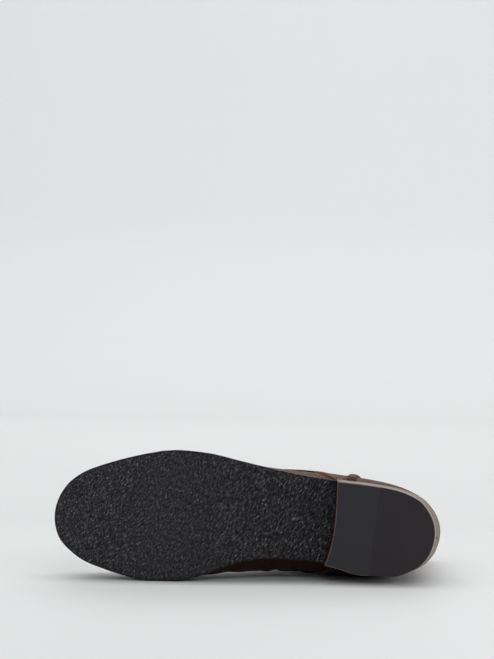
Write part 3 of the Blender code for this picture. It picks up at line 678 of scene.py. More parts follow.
def join_parts(parts):
    """Points and faces of several small shapes as one."""
    points, faces, base = [], [], 0
    for part_points, part_faces in parts:
        points.append(part_points)
        faces += [[corner + base for corner in face] for face in part_faces]
        base += len(part_points)
    return np.concatenate(points), faces


def run_length(points, axis):
    """Distance along the rows or columns of a grid from its first line."""
    step = np.linalg.norm(np.diff(points, axis=axis), axis=-1)
    first = np.zeros_like(np.take(step, [0], axis=axis))
    return np.concatenate([first, np.cumsum(step, axis=axis)], axis=axis)


def mesh_points(mesh):
    points = np.zeros(len(mesh.vertices) * 3)
    mesh.vertices.foreach_get("co", points)
    return points.reshape(-1, 3) / MM


def set_field(mesh, name, values):
    """Float value on every point, for the materials to read."""
    field = mesh.attributes.new(name, "FLOAT", "POINT")
    field.data.foreach_set("value", np.asarray(values, np.float32))


def link_object(name, data):
    obj = bpy.data.objects.new(name, data)
    bpy.context.scene.collection.objects.link(obj)
    return obj


def add_piece(name, mesh, materials, nodes=()):
    """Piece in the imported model's frame; its materials still read their place in the boot's own frame."""
    place = mesh.attributes.new("boot", "FLOAT_VECTOR", "POINT")
    place.data.foreach_set("vector", (mesh_points(mesh) * MM).astype(np.float32).ravel())
    mesh.transform(BOOT)
    obj = link_object(name, mesh)
    for mat in materials:
        mesh.materials.append(mat)
    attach(obj, "root")
    if nodes:
        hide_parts(*nodes)


# Nodes of the materials

NOISE_LOW, NOISE_HIGH = 0.3, 0.7           # a noise node's values mostly lie between these


def add_node(tree, kind, settings=None, inputs=None):
    made = tree.nodes.new(kind)
    for key, value in (settings or {}).items():
        setattr(made, key, value)
    for key, value in (inputs or {}).items():
        if isinstance(value, bpy.types.NodeSocket):
            tree.links.new(value, made.inputs[key])
        else:
            made.inputs[key].default_value = value
    return made


def new_material(name, sockets):
    """Principled material with plain socket values; returns the material, its tree and its shader."""
    mat = bpy.data.materials.new(name)
    mat.use_nodes = True
    shader = mat.node_tree.nodes["Principled BSDF"]
    for key, value in sockets.items():
        shader.inputs[key].default_value = value
    return mat, mat.node_tree, shader


def link_looks(tree, shader, looks):
    for key, value in looks.items():
        tree.links.new(value, shader.inputs[key])


def boot_place(tree):
    return add_node(tree, "ShaderNodeAttribute", {"attribute_name": "boot"}).outputs["Vector"]


def field_value(tree, name):
    return add_node(tree, "ShaderNodeAttribute", {"attribute_name": name}).outputs["Fac"]


def stretched(tree, place, scale):
    return add_node(tree, "ShaderNodeMapping", inputs={"Vector": place, "Scale": scale}).outputs["Vector"]


def noise_node(tree, place, size_mm, detail=2.0, roughness=0.5, distortion=0.0):
    made = add_node(tree, "ShaderNodeTexNoise", inputs={
        "Vector": place, "Scale": 1 / (size_mm * MM), "Detail": detail, "Roughness": roughness,
        "Distortion": distortion})
    return made.outputs["Fac"]


def math_node(tree, operation, *values):
    return add_node(tree, "ShaderNodeMath", {"operation": operation}, dict(enumerate(values))).outputs[0]


def ramp(tree, value, stops):
    """Colour ramp through (position, colour) stops."""
    made = add_node(tree, "ShaderNodeValToRGB", inputs={"Fac": value})
    elements = made.color_ramp.elements
    for _ in range(len(stops) - 2):
        elements.new(0.5)
    for element, (position, colour) in zip(elements, stops):
        element.position = position
        element.color = (*colour, 1.0)
    return made.outputs["Color"]


def mix_colour(tree, factor, first, second):
    """Mix of a linked colour with a plain one."""
    return add_node(tree, "ShaderNodeMix", {"data_type": "RGBA"}, {
        0: factor, 6: first, 7: (*second, 1.0)}).outputs[2]


def map_range(tree, value, start, end, low, high):
    made = add_node(tree, "ShaderNodeMapRange", inputs={
        "Value": value, "From Min": start, "From Max": end, "To Min": low, "To Max": high})
    return made.outputs["Result"]


def spread(tree, noise, low, high):
    """A noise's usual values stretched over low to high."""
    return map_range(tree, noise, NOISE_LOW, NOISE_HIGH, low, high)


def bump(tree, height, strength, depth_mm, below=None):
    inputs = {"Height": height, "Strength": strength, "Distance": depth_mm * MM}
    if below is not None:
        inputs["Normal"] = below
    return add_node(tree, "ShaderNodeBump", inputs=inputs).outputs["Normal"]


# Materials

Leather = namedtuple("Leather", "light dark burnt roughness grain coat")
# the burnt tone is both the burnish and the painted shade of the inner side
BROWN_LEATHER = Leather((0.125, 0.041, 0.022), (0.068, 0.022, 0.012), (0.014, 0.0045, 0.0028),
                        0.52, 0.9, 0.02)
TONGUE_LEATHER = Leather((0.110, 0.038, 0.021), (0.062, 0.021, 0.012), (0.026, 0.009, 0.006),
                         0.48, 1.0, 0.06)

Tones = namedtuple("Tones", "light dark roughness")
LINING_LEATHER = Tones((0.46, 0.34, 0.235), (0.36, 0.255, 0.17), 0.65)
LIFT_FRONT = Tones((0.0169, 0.0146, 0.0202), (0.0146, 0.0124, 0.0171), 0.5)
LIFT_REAR = Tones((0.0126, 0.0094, 0.0120), (0.0105, 0.0078, 0.0100), 0.55)
WORN_EDGE = Tones((0.16, 0.115, 0.090), (0.085, 0.058, 0.046), 0.6)
LACE_CORD = Tones((0.070, 0.034, 0.022), (0.022, 0.011, 0.008), 0.75)
PALE_THREAD = Tones((0.26, 0.17, 0.135), (0.18, 0.115, 0.09), 0.6)
DARK_THREAD = Tones((0.085, 0.038, 0.026), (0.050, 0.022, 0.015), 0.6)

# painted light: the crepe's tones run from painted shade in the troughs to pale painted glints on crests
# and strokes
CREPE_SHADE_AND_GLINT_TONES = [(0.33, (0.0024, 0.0021, 0.0025)), (0.57, (0.0105, 0.0090, 0.0110)),
               (0.73, (0.029, 0.0250, 0.0305)), (0.89, (0.110, 0.104, 0.122))]
# painted highlight: the pale tone of the sole's outer edge at the waist, where it faces the light
CREPE_EDGE_HIGHLIGHT = (0.20, 0.155, 0.13)
CREST_SHARE = 0.22         # how much of the crepe's tone, with its painted highlights and shade, follows its relief, next to the strokes
STROKE_STRETCH = 2.8
STREAK_ANGLE = math.radians(60)
STREAK_TURN = math.pi / 2 - STREAK_ANGLE   # turns the crepe's strokes of painted highlight along its wrinkles

STACK_TONES = [(0.25, (0.265, 0.204, 0.156)), (0.75, (0.38, 0.308, 0.245))]
STACK_STAINS = [("layer", (0.155, 0.108, 0.082)), ("joint", (0.060, 0.040, 0.032)),
                ("breast", (0.090, 0.045, 0.030))]
BRASS_TONES = [(0.35, (0.16, 0.10, 0.055)), (0.65, (0.36, 0.25, 0.14))]
BRAID_REPEAT = 1.6
BRAID_STRANDS = 3.0

# painted light and shade: the sweep's tone steps with depth to even out the lamps' light on it
SWEEP_PAPER_AND_LIGHT_TONES = [(0.09, (0.775, 0.785, 0.781)), (0.20, (0.685, 0.695, 0.691)), (0.35, (0.668, 0.678, 0.674)),
               (0.60, (0.682, 0.691, 0.687)), (0.85, (0.85, 0.863, 0.86))]
SWEEP_CLOUD = (0.5, 0.5, 0.5)
SWEEP_NEAR, SWEEP_FAR = -0.3, 2.7          # depths in metres that the sweep's tones run between


def leather_material(name, kind):
    """Smooth leather: mottled brown, darker where it is burnished and where painted shade lies on the inner
    side, with a fine pebble grain.
    """
    mat, tree, shader = new_material(name, {
        "Coat Weight": kind.coat, "Coat Roughness": 0.3, "Specular IOR Level": 0.07})
    place = boot_place(tree)
    mottle = noise_node(tree, place, 22.0, detail=4.0, roughness=0.6, distortion=0.4)
    colour = ramp(tree, mottle, [(0.3, kind.dark), (0.72, kind.light)])
    # towards the burnt tone where the leather is burnished, and where shade is painted on the inner side
    colour = mix_colour(tree, field_value(tree, "burnish_and_shade"), colour, kind.burnt)
    pebbles = add_node(tree, "ShaderNodeTexVoronoi", {"feature": "F1"}, {
        "Vector": place, "Scale": 1 / (kind.grain * MM), "Randomness": 1.0}).outputs["Distance"]
    fine = noise_node(tree, place, 0.6 * kind.grain, detail=3.0)
    wide = noise_node(tree, place, 6.0)
    normal = bump(tree, pebbles, 0.22, 0.12)
    normal = bump(tree, fine, 0.18, 0.06, normal)
    normal = bump(tree, wide, 0.2, 0.35, normal)
    rough = spread(tree, wide, kind.roughness - 0.06, kind.roughness + 0.08)
    link_looks(tree, shader, {"Base Color": colour, "Roughness": rough, "Normal": normal})
    return mat


def lining_material(name, tones):
    """Plain lining leather with a soft mottle."""
    mat, tree, shader = new_material(name, {"Specular IOR Level": 0.35})
    place = boot_place(tree)
    mottle = noise_node(tree, place, 9.0, detail=4.0, roughness=0.6)
    fine = noise_node(tree, place, 0.7, detail=3.0)
    link_looks(tree, shader, {
        "Base Color": ramp(tree, mottle, [(NOISE_LOW, tones.dark), (NOISE_HIGH, tones.light)]),
        "Roughness": spread(tree, fine, tones.roughness - 0.08, tones.roughness + 0.08),
        "Normal": bump(tree, fine, 0.3, 0.1)})
    return mat


def crepe_material():
    """Black crepe rubber: painted shade keeps its troughs dark and dull, painted highlights put short pale
    strokes along the wrinkles on its crests, and a painted highlight runs along the outer edge at the
    waist."""
    mat, tree, shader = new_material("crepe_rubber", {})
    place = boot_place(tree)
    turned = add_node(tree, "ShaderNodeMapping", {"vector_type": "TEXTURE"}, {
        "Vector": place, "Rotation": (0.0, 0.0, STREAK_TURN),
        "Scale": (1.0, STROKE_STRETCH, 1.0)}).outputs["Vector"]
    short = spread(tree, noise_node(tree, turned, 0.95, detail=1.0), 0.32, 0.68)
    bold = spread(tree, noise_node(tree, turned, 1.15, detail=1.0), 0.245, 0.725)
    stroke = add_node(tree, "ShaderNodeMix", inputs={
        "Factor": field_value(tree, "wrinkled"), "A": short, "B": bold}).outputs["Result"]
    height = math_node(tree, "MULTIPLY_ADD", field_value(tree, "crest"), CREST_SHARE, stroke)
    fine = noise_node(tree, place, 0.55, detail=3.0, roughness=0.6)
    link_looks(tree, shader, {
        # the ramp paints shade into the low places and highlights onto the crests and strokes
        "Base Color": mix_colour(tree, field_value(tree, "edge_highlight"), ramp(tree, height, CREPE_SHADE_AND_GLINT_TONES),
                                 CREPE_EDGE_HIGHLIGHT),
        "Roughness": map_range(tree, height, 0.4, 0.9, 0.6, 0.38),
        "Specular IOR Level": map_range(tree, height, 0.45, 0.9, 0.2, 0.5),
        "Normal": bump(tree, fine, 0.3, 0.15, bump(tree, stroke, 1.0, 0.5))})
    return mat


def lift_material(name, tones):
    """Smooth moulded rubber with a faint drag of fine scratches."""
    mat, tree, shader = new_material(name, {"Specular IOR Level": 0.34})
    place = boot_place(tree)
    cloud = noise_node(tree, place, 14.0, detail=3.0, roughness=0.6)
    drag = noise_node(tree, stretched(tree, place, (0.2, 1.0, 1.0)), 0.5)
    link_looks(tree, shader, {
        "Base Color": ramp(tree, cloud, [(0.25, tones.dark), (0.75, tones.light)]),
        "Roughness": spread(tree, drag, tones.roughness - 0.05, tones.roughness + 0.05),
        "Normal": bump(tree, drag, 0.06, 0.05)})
    return mat


def stack_material():
    """Stacked leather: pale layers with darker joints, streaked along the layers."""
    mat, tree, shader = new_material("stacked_leather", {
        "Specular IOR Level": 0.35, "Coat Weight": 0.1, "Coat Roughness": 0.3})
    along = stretched(tree, boot_place(tree), (0.25, 0.25, 2.0))
    streak = noise_node(tree, along, 2.5, detail=4.0, roughness=0.65)
    colour = ramp(tree, streak, STACK_TONES)
    for field, stain in STACK_STAINS:
        colour = mix_colour(tree, field_value(tree, field), colour, stain)
    link_looks(tree, shader, {"Base Color": colour, "Roughness": spread(tree, streak, 0.42, 0.6),
                              "Normal": bump(tree, streak, 0.25, 0.2)})
    return mat


def metal_material():
    """Aged brass, duller where it is tarnished."""
    mat, tree, shader = new_material("aged_brass", {"Metallic": 1.0})
    tarnish = noise_node(tree, boot_place(tree), 1.6, detail=4.0, roughness=0.65)
    link_looks(tree, shader, {"Base Color": ramp(tree, tarnish, BRASS_TONES),
                              "Roughness": spread(tree, tarnish, 0.45, 0.26)})
    return mat


def braid_material(name, tones):
    """Braided cord, from two sets of slanted waves in the tube's own UV map."""
    mat, tree, shader = new_material(name, {
        "Roughness": tones.roughness, "Sheen Weight": 0.3, "Specular IOR Level": 0.3})
    uv = add_node(tree, "ShaderNodeUVMap", {"uv_map": "along"}).outputs["UV"]
    parts = add_node(tree, "ShaderNodeSeparateXYZ", inputs={"Vector": uv}).outputs
    waves = []
    for strands in (BRAID_STRANDS, -BRAID_STRANDS):
        lead = math_node(tree, "MULTIPLY", parts["X"], strands)
        slant = math_node(tree, "MULTIPLY_ADD", parts["Y"], 1 / BRAID_REPEAT, lead)
        waves.append(math_node(tree, "SINE", math_node(tree, "MULTIPLY", slant, 2 * math.pi)))
    weave = map_range(tree, math_node(tree, "MAXIMUM", *waves), -0.4, 1.0, 0.0, 1.0)
    link_looks(tree, shader, {"Base Color": ramp(tree, weave, [(0.1, tones.dark), (0.9, tones.light)]),
                              "Normal": bump(tree, weave, 0.6, 0.25)})
    return mat


def thread_material(name, tones):
    mat, tree, shader = new_material(name, {"Roughness": tones.roughness, "Sheen Weight": 0.2})
    twist = noise_node(tree, boot_place(tree), 0.5)
    link_looks(tree, shader, {
        "Base Color": ramp(tree, twist, [(NOISE_LOW, tones.dark), (NOISE_HIGH, tones.light)]),
        "Normal": bump(tree, twist, 0.4, 0.1)})
    return mat


def sweep_material():
    """Pale paper, with painted shade behind the boot and painted light where it curves up into the wall."""
    mat, tree, shader = new_material("pale_sweep", {"Specular IOR Level": 0.2, "Roughness": 0.6})
    place = add_node(tree, "ShaderNodeTexCoord").outputs["Object"]
    depth = add_node(tree, "ShaderNodeSeparateXYZ", inputs={"Vector": place}).outputs["Y"]
    colour = ramp(tree, map_range(tree, depth, SWEEP_NEAR, SWEEP_FAR, 0.0, 1.0), SWEEP_PAPER_AND_LIGHT_TONES)
    cloud = spread(tree, noise_node(tree, place, 400.0), 0.0, 0.015)
    link_looks(tree, shader, {"Base Color": mix_colour(tree, cloud, colour, SWEEP_CLOUD)})
    return mat


# Sole pieces

TREAD_ROWS, TREAD_COLUMNS = 420, 190
BREAST_GAP = 0.08
# Inset and height of the outlines up the sole's side
SOLE_SIDE = [
    (0.3 * SOLE_EDGE_ROUND, 0.3 * SOLE_EDGE_ROUND),
    (0.0, SOLE_EDGE_ROUND),
    (0.0, 0.55 * SOLE_THICKNESS),
    (0.0, 0.94 * SOLE_THICKNESS),
    (0.3, SOLE_THICKNESS),
]
FADE_CELLS = 3.0           # the relief dies away over this many cells of the tread's grid at its edge
SIDE_CREST = 0.05          # relief value that the plain sides take their tone from
DULLER = 0.3               # how much the crests' painted highlights fade towards the heel
# Ranges along the sole, across it and up its side over which a look comes in
DULL_ALONG = (190.0, 100.0)
WRINKLED_ALONG = (230.0, 90.0)
EDGE_HIGHLIGHT_FROM_HEEL = (66.0, 90.0)
EDGE_HIGHLIGHT_FROM_BALL = (175.0, 130.0)
EDGE_HIGHLIGHT_UP = (2.0, 4.0)
EDGE_HIGHLIGHT_ACROSS = (5.0, 15.0)

WARP, WARP_SIZE = 1.3, 4.0
PEBBLE_LENGTH, PEBBLE_WIDTH = 2.1, 1.8
WRINKLE_WIDTH, WRINKLE_LENGTH = 1.6, 3.4
PEBBLES_END, WRINKLES_FULL = 240.0, 110.0  # places along the sole; wrinkles take over between them
GRAIN, GRAIN_SIZE = 0.45, 1.5
RELIEF_AT_TOE, RELIEF_GAIN = 0.5, 0.45
RELIEF_SHARE, RELIEF_SWING, RELIEF_PATCH = 0.9, 0.2, 9.0
SPOT_X, SPOT_Y, SPOT_LENGTH, SPOT_WIDTH = 101.0, 9.0, 5.0, 6.0   # smooth spot in the waist
SPOT_RELIEF = 0.25


def crepe_relief(x, y):
    """Relief of the crepe from 0 in its troughs to about 1 on its crests, and its depth in millimetres:
    small pebbles at the toe, longer and deeper slanted wrinkles towards the heel breast."""
    warp_x = x + WARP * noise_field(x / WARP_SIZE, y / WARP_SIZE, seed=11)
    warp_y = y + WARP * noise_field(x / WARP_SIZE, y / WARP_SIZE, seed=12)
    across = warp_x * math.sin(STREAK_ANGLE) + warp_y * math.cos(STREAK_ANGLE)
    along = -warp_x * math.cos(STREAK_ANGLE) + warp_y * math.sin(STREAK_ANGLE)
    pebble = cell_dome(warp_x / PEBBLE_LENGTH, warp_y / PEBBLE_WIDTH, seed=21)
    wrinkle = cell_dome(across / WRINKLE_WIDTH, along / WRINKLE_LENGTH, seed=31)
    to_heel = smooth_step(x, PEBBLES_END, WRINKLES_FULL)
    relief = (1 - to_heel) * pebble + to_heel * wrinkle
    relief = relief + GRAIN * noise_field(x / GRAIN_SIZE, y / GRAIN_SIZE, seed=32)
    swing = RELIEF_SHARE + RELIEF_SWING * noise_field(x / RELIEF_PATCH, y / RELIEF_PATCH, seed=41)
    spot = ((x - SPOT_X) / SPOT_LENGTH) ** 2 + ((y - SPOT_Y) / SPOT_WIDTH) ** 2
    outside = SPOT_RELIEF + (1 - SPOT_RELIEF) * smooth_step(spot, 0.5, 1.3)
    return np.clip(relief, -0.3, 1.3), (RELIEF_AT_TOE + RELIEF_GAIN * to_heel) * swing * outside


def outline_of(grid):
    """Edge of a grid, once around."""
    return np.concatenate([grid[0], grid[1:, -1], grid[-1, -2::-1], grid[-2:0:-1, 0]])


def sole_plan(inset, height):
    """Plan at a height above the walking face; the rear end follows the leaning heel breast."""
    take = constant_inset(inset)
    lean = BREAST_RAKE * (HEEL_FRONT_HEIGHT - SOLE_THICKNESS + height) / HEEL_FRONT_HEIGHT
    rear = cross_line(breast_x, lean + BREAST_GAP + 0.2 * inset, take, TREAD_COLUMNS)
    front = end_line(t_at(TOE_ARC_START), 1.0, take, TREAD_COLUMNS)
    return plan_grid(rear, front, take, TREAD_ROWS)


def edge_fade(rows, columns):
    """0 at the edge of the tread's grid, 1 away from it."""
    i = np.minimum(np.arange(rows), np.arange(rows)[::-1])[:, None]
    j = np.minimum(np.arange(columns), np.arange(columns)[::-1])[None]
    return np.clip(np.minimum(i, j) / FADE_CELLS, 0, 1)


def sole_top(outline):
    """Faces of the side that carries the upper, one for each row from edge to edge."""
    corner = TREAD_COLUMNS + TREAD_ROWS
    outer = outline[TREAD_COLUMNS:corner + 1]
    inner = np.concatenate([outline[:1], outline[:TREAD_COLUMNS + corner - 1:-1]])
    rear = outline[:TREAD_COLUMNS + 1].tolist() + [int(outer[1]), int(inner[1])]
    front = [int(inner[-2]), int(outer[-2])] + outline[corner:corner + TREAD_COLUMNS + 1].tolist()
    return [rear] + np.stack([inner[1:-2], outer[1:-2], outer[2:-1], inner[2:-1]], -1).tolist() + [front]


def make_outsole(mat):
    """Crepe sole: a tread with relief, plain sides and a plain top."""
    tread = sole_plan(SOLE_EDGE_ROUND, 0.0)
    x, y = tread[..., 0], tread[..., 1]
    relief, depth = crepe_relief(x, y)
    fade = edge_fade(*x.shape)
    z = seat_height(x) - SOLE_THICKNESS - (relief - 0.5) * depth * fade
    rings = []
    for inset, height in SOLE_SIDE:
        flat = outline_of(sole_plan(inset, height))
        rings.append(np.column_stack([flat, seat_height(flat[:, 0]) - SOLE_THICKNESS + height]))
    points = np.concatenate([np.stack([x, y, z], -1).reshape(-1, 3)] + rings)
    corners = np.arange(x.size).reshape(x.shape)
    loops = [outline_of(corners), *np.arange(x.size, len(points)).reshape(len(rings), -1)]
    faces = grid_quads(corners).tolist()
    for low, high in zip(loops, loops[1:]):
        faces += band(low, high)
    mesh = mesh_from("outsole_crepe", points, faces + sole_top(loops[-1]), sharp_angle=75)

    # crest: the relief that the crepe's painted highlights on crests and painted shade in troughs follow
    crest = np.full(len(points), SIDE_CREST)
    dull = 1 - DULLER * smooth_step(x, *DULL_ALONG)
    crest[:x.size] = np.clip(relief * dull * fade + SIDE_CREST * (1 - fade), 0, 1).ravel()
    x, y, z = points.T
    # painted highlight: a pale line on the upper part of the sole's outer side at the waist, the side that
    # faces up to the light
    at_waist = smooth_step(x, *EDGE_HIGHLIGHT_FROM_HEEL) * smooth_step(x, *EDGE_HIGHLIGHT_FROM_BALL)
    above = z - seat_height(x) + SOLE_THICKNESS
    edge_highlight = at_waist * smooth_step(above, *EDGE_HIGHLIGHT_UP) * smooth_step(y, *EDGE_HIGHLIGHT_ACROSS)
    set_field(mesh, "crest", crest)
    set_field(mesh, "wrinkled", smooth_step(x, *WRINKLED_ALONG))
    set_field(mesh, "edge_highlight", edge_highlight)
    add_piece("outsole_crepe", mesh, [mat], ["outsole"])


HEEL_COLUMNS, HEEL_SIDE_ROWS = 60, 40
HEEL_MIDDLE = (35.0, 0.0)
LAYER_TONES = (0.0, 0.75, 0.55, 0.85)      # how dark each layer of the stack is, from the lowest up
LAYER_GROOVE, LAYER_SWELL = 0.22, -0.05    # how far the side is pulled in at a joint and amid a layer
GROOVE_DEEPEST, GROOVE_END = 0.012, 0.035  # shares of the stack's height, from a joint
BREAST_STAIN = (-1.5, -0.4)                # distances from the breast over which its stain comes in


def heel_ring(share, low):
    """Outline of the heel stack at a share of its height, which starts at the height low."""
    def inset(t):
        return share * heel_overhang(t)

    lean = BREAST_RAKE * (low + share * (HEEL_FRONT_HEIGHT - low)) / HEEL_FRONT_HEIGHT
    back = end_line(t_at(HEEL_ARC_END), 0.0, inset, HEEL_COLUMNS)
    front = cross_line(breast_x, lean, inset, HEEL_COLUMNS)
    ring = outline_of(plan_grid(back, front, inset, HEEL_SIDE_ROWS))
    return np.column_stack([ring, low + share * (seat_height(ring[:, 0]) - low)])


def make_heel_stack(mat):
    """Stack of leather layers with a fine groove at each joint, closed above and below."""
    rings, tones, joints = [], [], []
    for k, tone in enumerate(LAYER_TONES):
        bottom, top = k / len(LAYER_TONES), (k + 1) / len(LAYER_TONES)
        for share, pull in ((bottom + GROOVE_DEEPEST, LAYER_GROOVE), (bottom + GROOVE_END, 0.0),
                            ((bottom + top) / 2, LAYER_SWELL), (top - GROOVE_END, 0.0),
                            (top - GROOVE_DEEPEST, LAYER_GROOVE)):
            ring = heel_ring(share, TOP_LIFT_HEIGHT + GAP)
            away = ring[:, :2] - HEEL_MIDDLE
            ring[:, :2] -= away / np.linalg.norm(away, axis=1, keepdims=True) * pull
            rings.append(ring)
            tones.append(tone)
            joints.append(float(pull == LAYER_GROOVE))
    points = np.concatenate(rings)
    length = len(rings[0])
    mesh = mesh_from("heel_stack_layers", points, ring_faces(len(rings), length), sharp_angle=60)
    set_field(mesh, "layer", np.repeat(tones, length))
    set_field(mesh, "joint", np.repeat(joints, length))
    set_field(mesh, "breast", smooth_step(points[:, 0] - breast_x(points[:, 1]), *BREAST_STAIN))
    add_piece("heel_stack_layers", mesh, [mat], ["heel_stack"])


LIFT_ROUND = 0.45          # worn round at the edge of the walking face
LIFT_JOINT = 0.01          # half the gap between its two parts
ON_LINE = 0.1              # nearer than this counts as on the line
WORN_FOLD = 1.0            # radians; only a sharper edge is worn
LIFT_SHARP_ANGLE = 35


def wear_edge(mesh):
    """Rounds a lift's edge on the ground, apart from the joint; the round is material 1."""
    bm = bmesh.new()
    bm.from_mesh(mesh)
    for face in bm.faces:
        face.material_index = 0
    worn = []
    for edge in bm.edges:
        places = [vert.co / MM for vert in edge.verts]
        on_ground = all(abs(place.z) < ON_LINE for place in places)
        at_joint = all(abs(place.x - split_x(place.y)) < ON_LINE for place in places)
        if on_ground and not at_joint and edge.calc_face_angle() > WORN_FOLD:
            worn.append(edge)
    made = bmesh.ops.bevel(bm, geom=worn, offset=LIFT_ROUND * MM, segments=3, profile=0.5,
                           affect="EDGES", clamp_overlap=True)
    for face in made["faces"]:
        face.material_index = 1
    bm.to_mesh(mesh)
    bm.free()
    mesh.shade_smooth()
    mesh.set_sharp_from_angle(angle=math.radians(LIFT_SHARP_ANGLE))


def make_top_lifts(front_mat, rear_mat, worn_mat):
    """Walking face of the heel in two parts, set close together, with a worn round at the outer edge."""
    flush = constant_inset(0.0)
    back = end_line(t_at(HEEL_ARC_END), 0.0, flush, HEEL_COLUMNS)
    joint_rear = cross_line(split_x, -LIFT_JOINT, flush, HEEL_COLUMNS)
    joint_front = cross_line(split_x, LIFT_JOINT, flush, HEEL_COLUMNS)
    breast = cross_line(breast_x, 0.0, flush, HEEL_COLUMNS)
    for name, plan, mat, slot in (
            ("top_lift_front", plan_grid(joint_front, breast, flush, 24), front_mat, "lift_front"),
            ("top_lift_rear", plan_grid(back, joint_rear, flush, 36), rear_mat, "lift_rear")):
        mesh = shell(name + "_face", [at_height(plan, 0.0)], [at_height(plan, TOP_LIFT_HEIGHT)])
        wear_edge(mesh)
        add_piece(name + "_face", mesh, [mat, worn_mat], [name])


TACK_PLACE = (-0.45 * HEEL_TAPER_BACK, -3.0, 12.5)
TACK_RINGS = [(0.75, 0.6), (0.75, 0.0), (0.7, -0.25), (0.4, -0.38)]   # radius, and depth into the heel


def make_heel_tack(mat):
    """Small nail head in the back of the heel stack."""
    sides = 16
    angle = np.linspace(0, 2 * np.pi, sides, endpoint=False)
    rings = [np.column_stack([np.full(sides, depth), radius * np.cos(angle), radius * np.sin(angle)])
             for radius, depth in TACK_RINGS]
    mesh = mesh_from("heel_tack", np.concatenate(rings) + TACK_PLACE, ring_faces(len(rings), sides))
    add_piece("heel_tack", mesh, [mat])


def make_insole(mat):
    rows, columns = 120, 40

    def inset(t):
        return feather_inset(t) + INSOLE_INSET

    rear = end_line(t_at(INSOLE_ARC_END), 0.0, inset, columns)
    front = end_line(t_at(TOE_ARC_START), 1.0, inset, columns)
    plan = plan_grid(rear, front, inset, rows)
    base = seat_height(plan[..., :1]) + GAP
    mesh = shell("insole_sock", [at_height(plan, base)], [at_height(plan, base + INSOLE_THICKNESS)])
    add_piece("insole_sock", mesh, [mat, mat], ["insole"])


# Upper and what it carries

def edge_drop(distance):
    """How much a rounded edge falls short of the full height at a distance from it."""
    inner = np.clip(1 - distance / EDGE_ROUND, 0, 1)
    return EDGE_ROUND * (1 - np.sqrt(1 - inner ** 2))


SEAM_EDGE_SHARE = 0.6      # how round the quarters' front edge is, next to a free edge
THROAT_CLEAR = 0.05        # sections past the throat's point before its edge is rounded


def make_upper(outside, inside):
    """Vamp and quarters as one wall, with the quarters' edge stepping up over the vamp."""
    near = np.array([0.0, 0.003, 0.007, 0.012, 0.02])   # close steps at an edge, then even ones
    around = np.concatenate([near, np.linspace(0.035, 1, 54)])
    rows = np.concatenate([near, np.linspace(0.04, 1, 46)])
    shaft_rows = np.concatenate([np.linspace(0, 0.97, 50)[1:], 1 - near[::-1]])
    vamp_steps = np.concatenate([np.linspace(0, 0.97, 104), 1 - near[::-1]])[:, None]
    seam = read_table(SEAM_ROWS, around, "section")
    full = np.concatenate([-around[:0:-1], around])
    full_seam = np.concatenate([seam[:0:-1], seam]) - SEAM_RUN / SECTION_PITCH
    vamp_u = vamp_steps * full_seam[None]
    vamp_s = np.broadcast_to(full, vamp_u.shape)
    zero = np.zeros(vamp_u.shape)
    low = [off_last(vamp_u, vamp_s, zero)]
    high = [off_last(vamp_u, vamp_s, zero + WALL - VAMP_STEP)]
    middle = len(around) - 1

    heel = seam + rows[:, None] * (CLOSED_ROW - seam)
    shaft = CLOSED_ROW + shaft_rows[:, None] * (COLLAR_ROW - CLOSED_ROW) + 0 * seam
    u = np.concatenate([heel, shaft])
    for side in (MEDIAL, LATERAL):
        start = np.where(u > THROAT_ROW, around_at(u, throat_half(u), side), 0.0)
        s = side * (start + (1 - start) * around)
        bare = last_point(u, s)
        from_seam = run_length(bare, 0)
        from_throat = np.where(u > THROAT_ROW + THROAT_CLEAR, run_length(bare, 1), EDGE_ROUND)
        from_collar = run_length(bare[::-1], 0)[::-1]
        free = np.minimum(from_throat, from_collar)
        inner = off_last(u, s, edge_drop(free))
        drop = np.maximum(edge_drop(free), edge_drop(from_seam) * SEAM_EDGE_SHARE)
        outer = off_last(u, s, WALL - drop)
        half = slice(middle, None) if side == LATERAL else slice(middle, None, -1)
        low += [np.stack([low[0][-1, half], inner[0]]), inner]
        high += [np.stack([high[0][-1, half], outer[0]]), outer]
    mesh = shell("upper_leather", low, high)
    set_field(mesh, "burnish_and_shade", burnish_and_shade_at(mesh_points(mesh)))
    add_piece("upper_leather", mesh, [outside, inside], ["upper"])


def burnish_and_shade_at(points):
    """Darker polish along the sole, at the toe and up the back, and painted shade over the lower inner
    side, which faces the floor.
    """
    x, y, z = points.T
    above = z - seat_height(np.clip(x, 0, SOLE_LENGTH))
    sole = 0.75 * (1 - smooth_step(above, 0.0, 9.0))
    # painted shade: the lower inner side, which faces the floor, is darkened as if in shadow
    inner = 0.9 * smooth_step(-y, 8.0, 24.0) * (1 - smooth_step(above, 12.0, 70.0))
    toe = 0.45 * smooth_step(x, 215.0, 262.0)
    back = 0.35 * (1 - smooth_step(x, -2.0, 30.0))
    return np.clip(np.max([sole, inner, toe, back], axis=0), 0, 1)


TONGUE_PRESS = 0.9         # how far the lace presses the tongue down, and the sections where it does
PRESS_STARTS, PRESS_ENDS = (8.0, 8.8), (18.6, 19.4)
TONGUE_EDGE = 0.55         # thickness at its sides, as a share


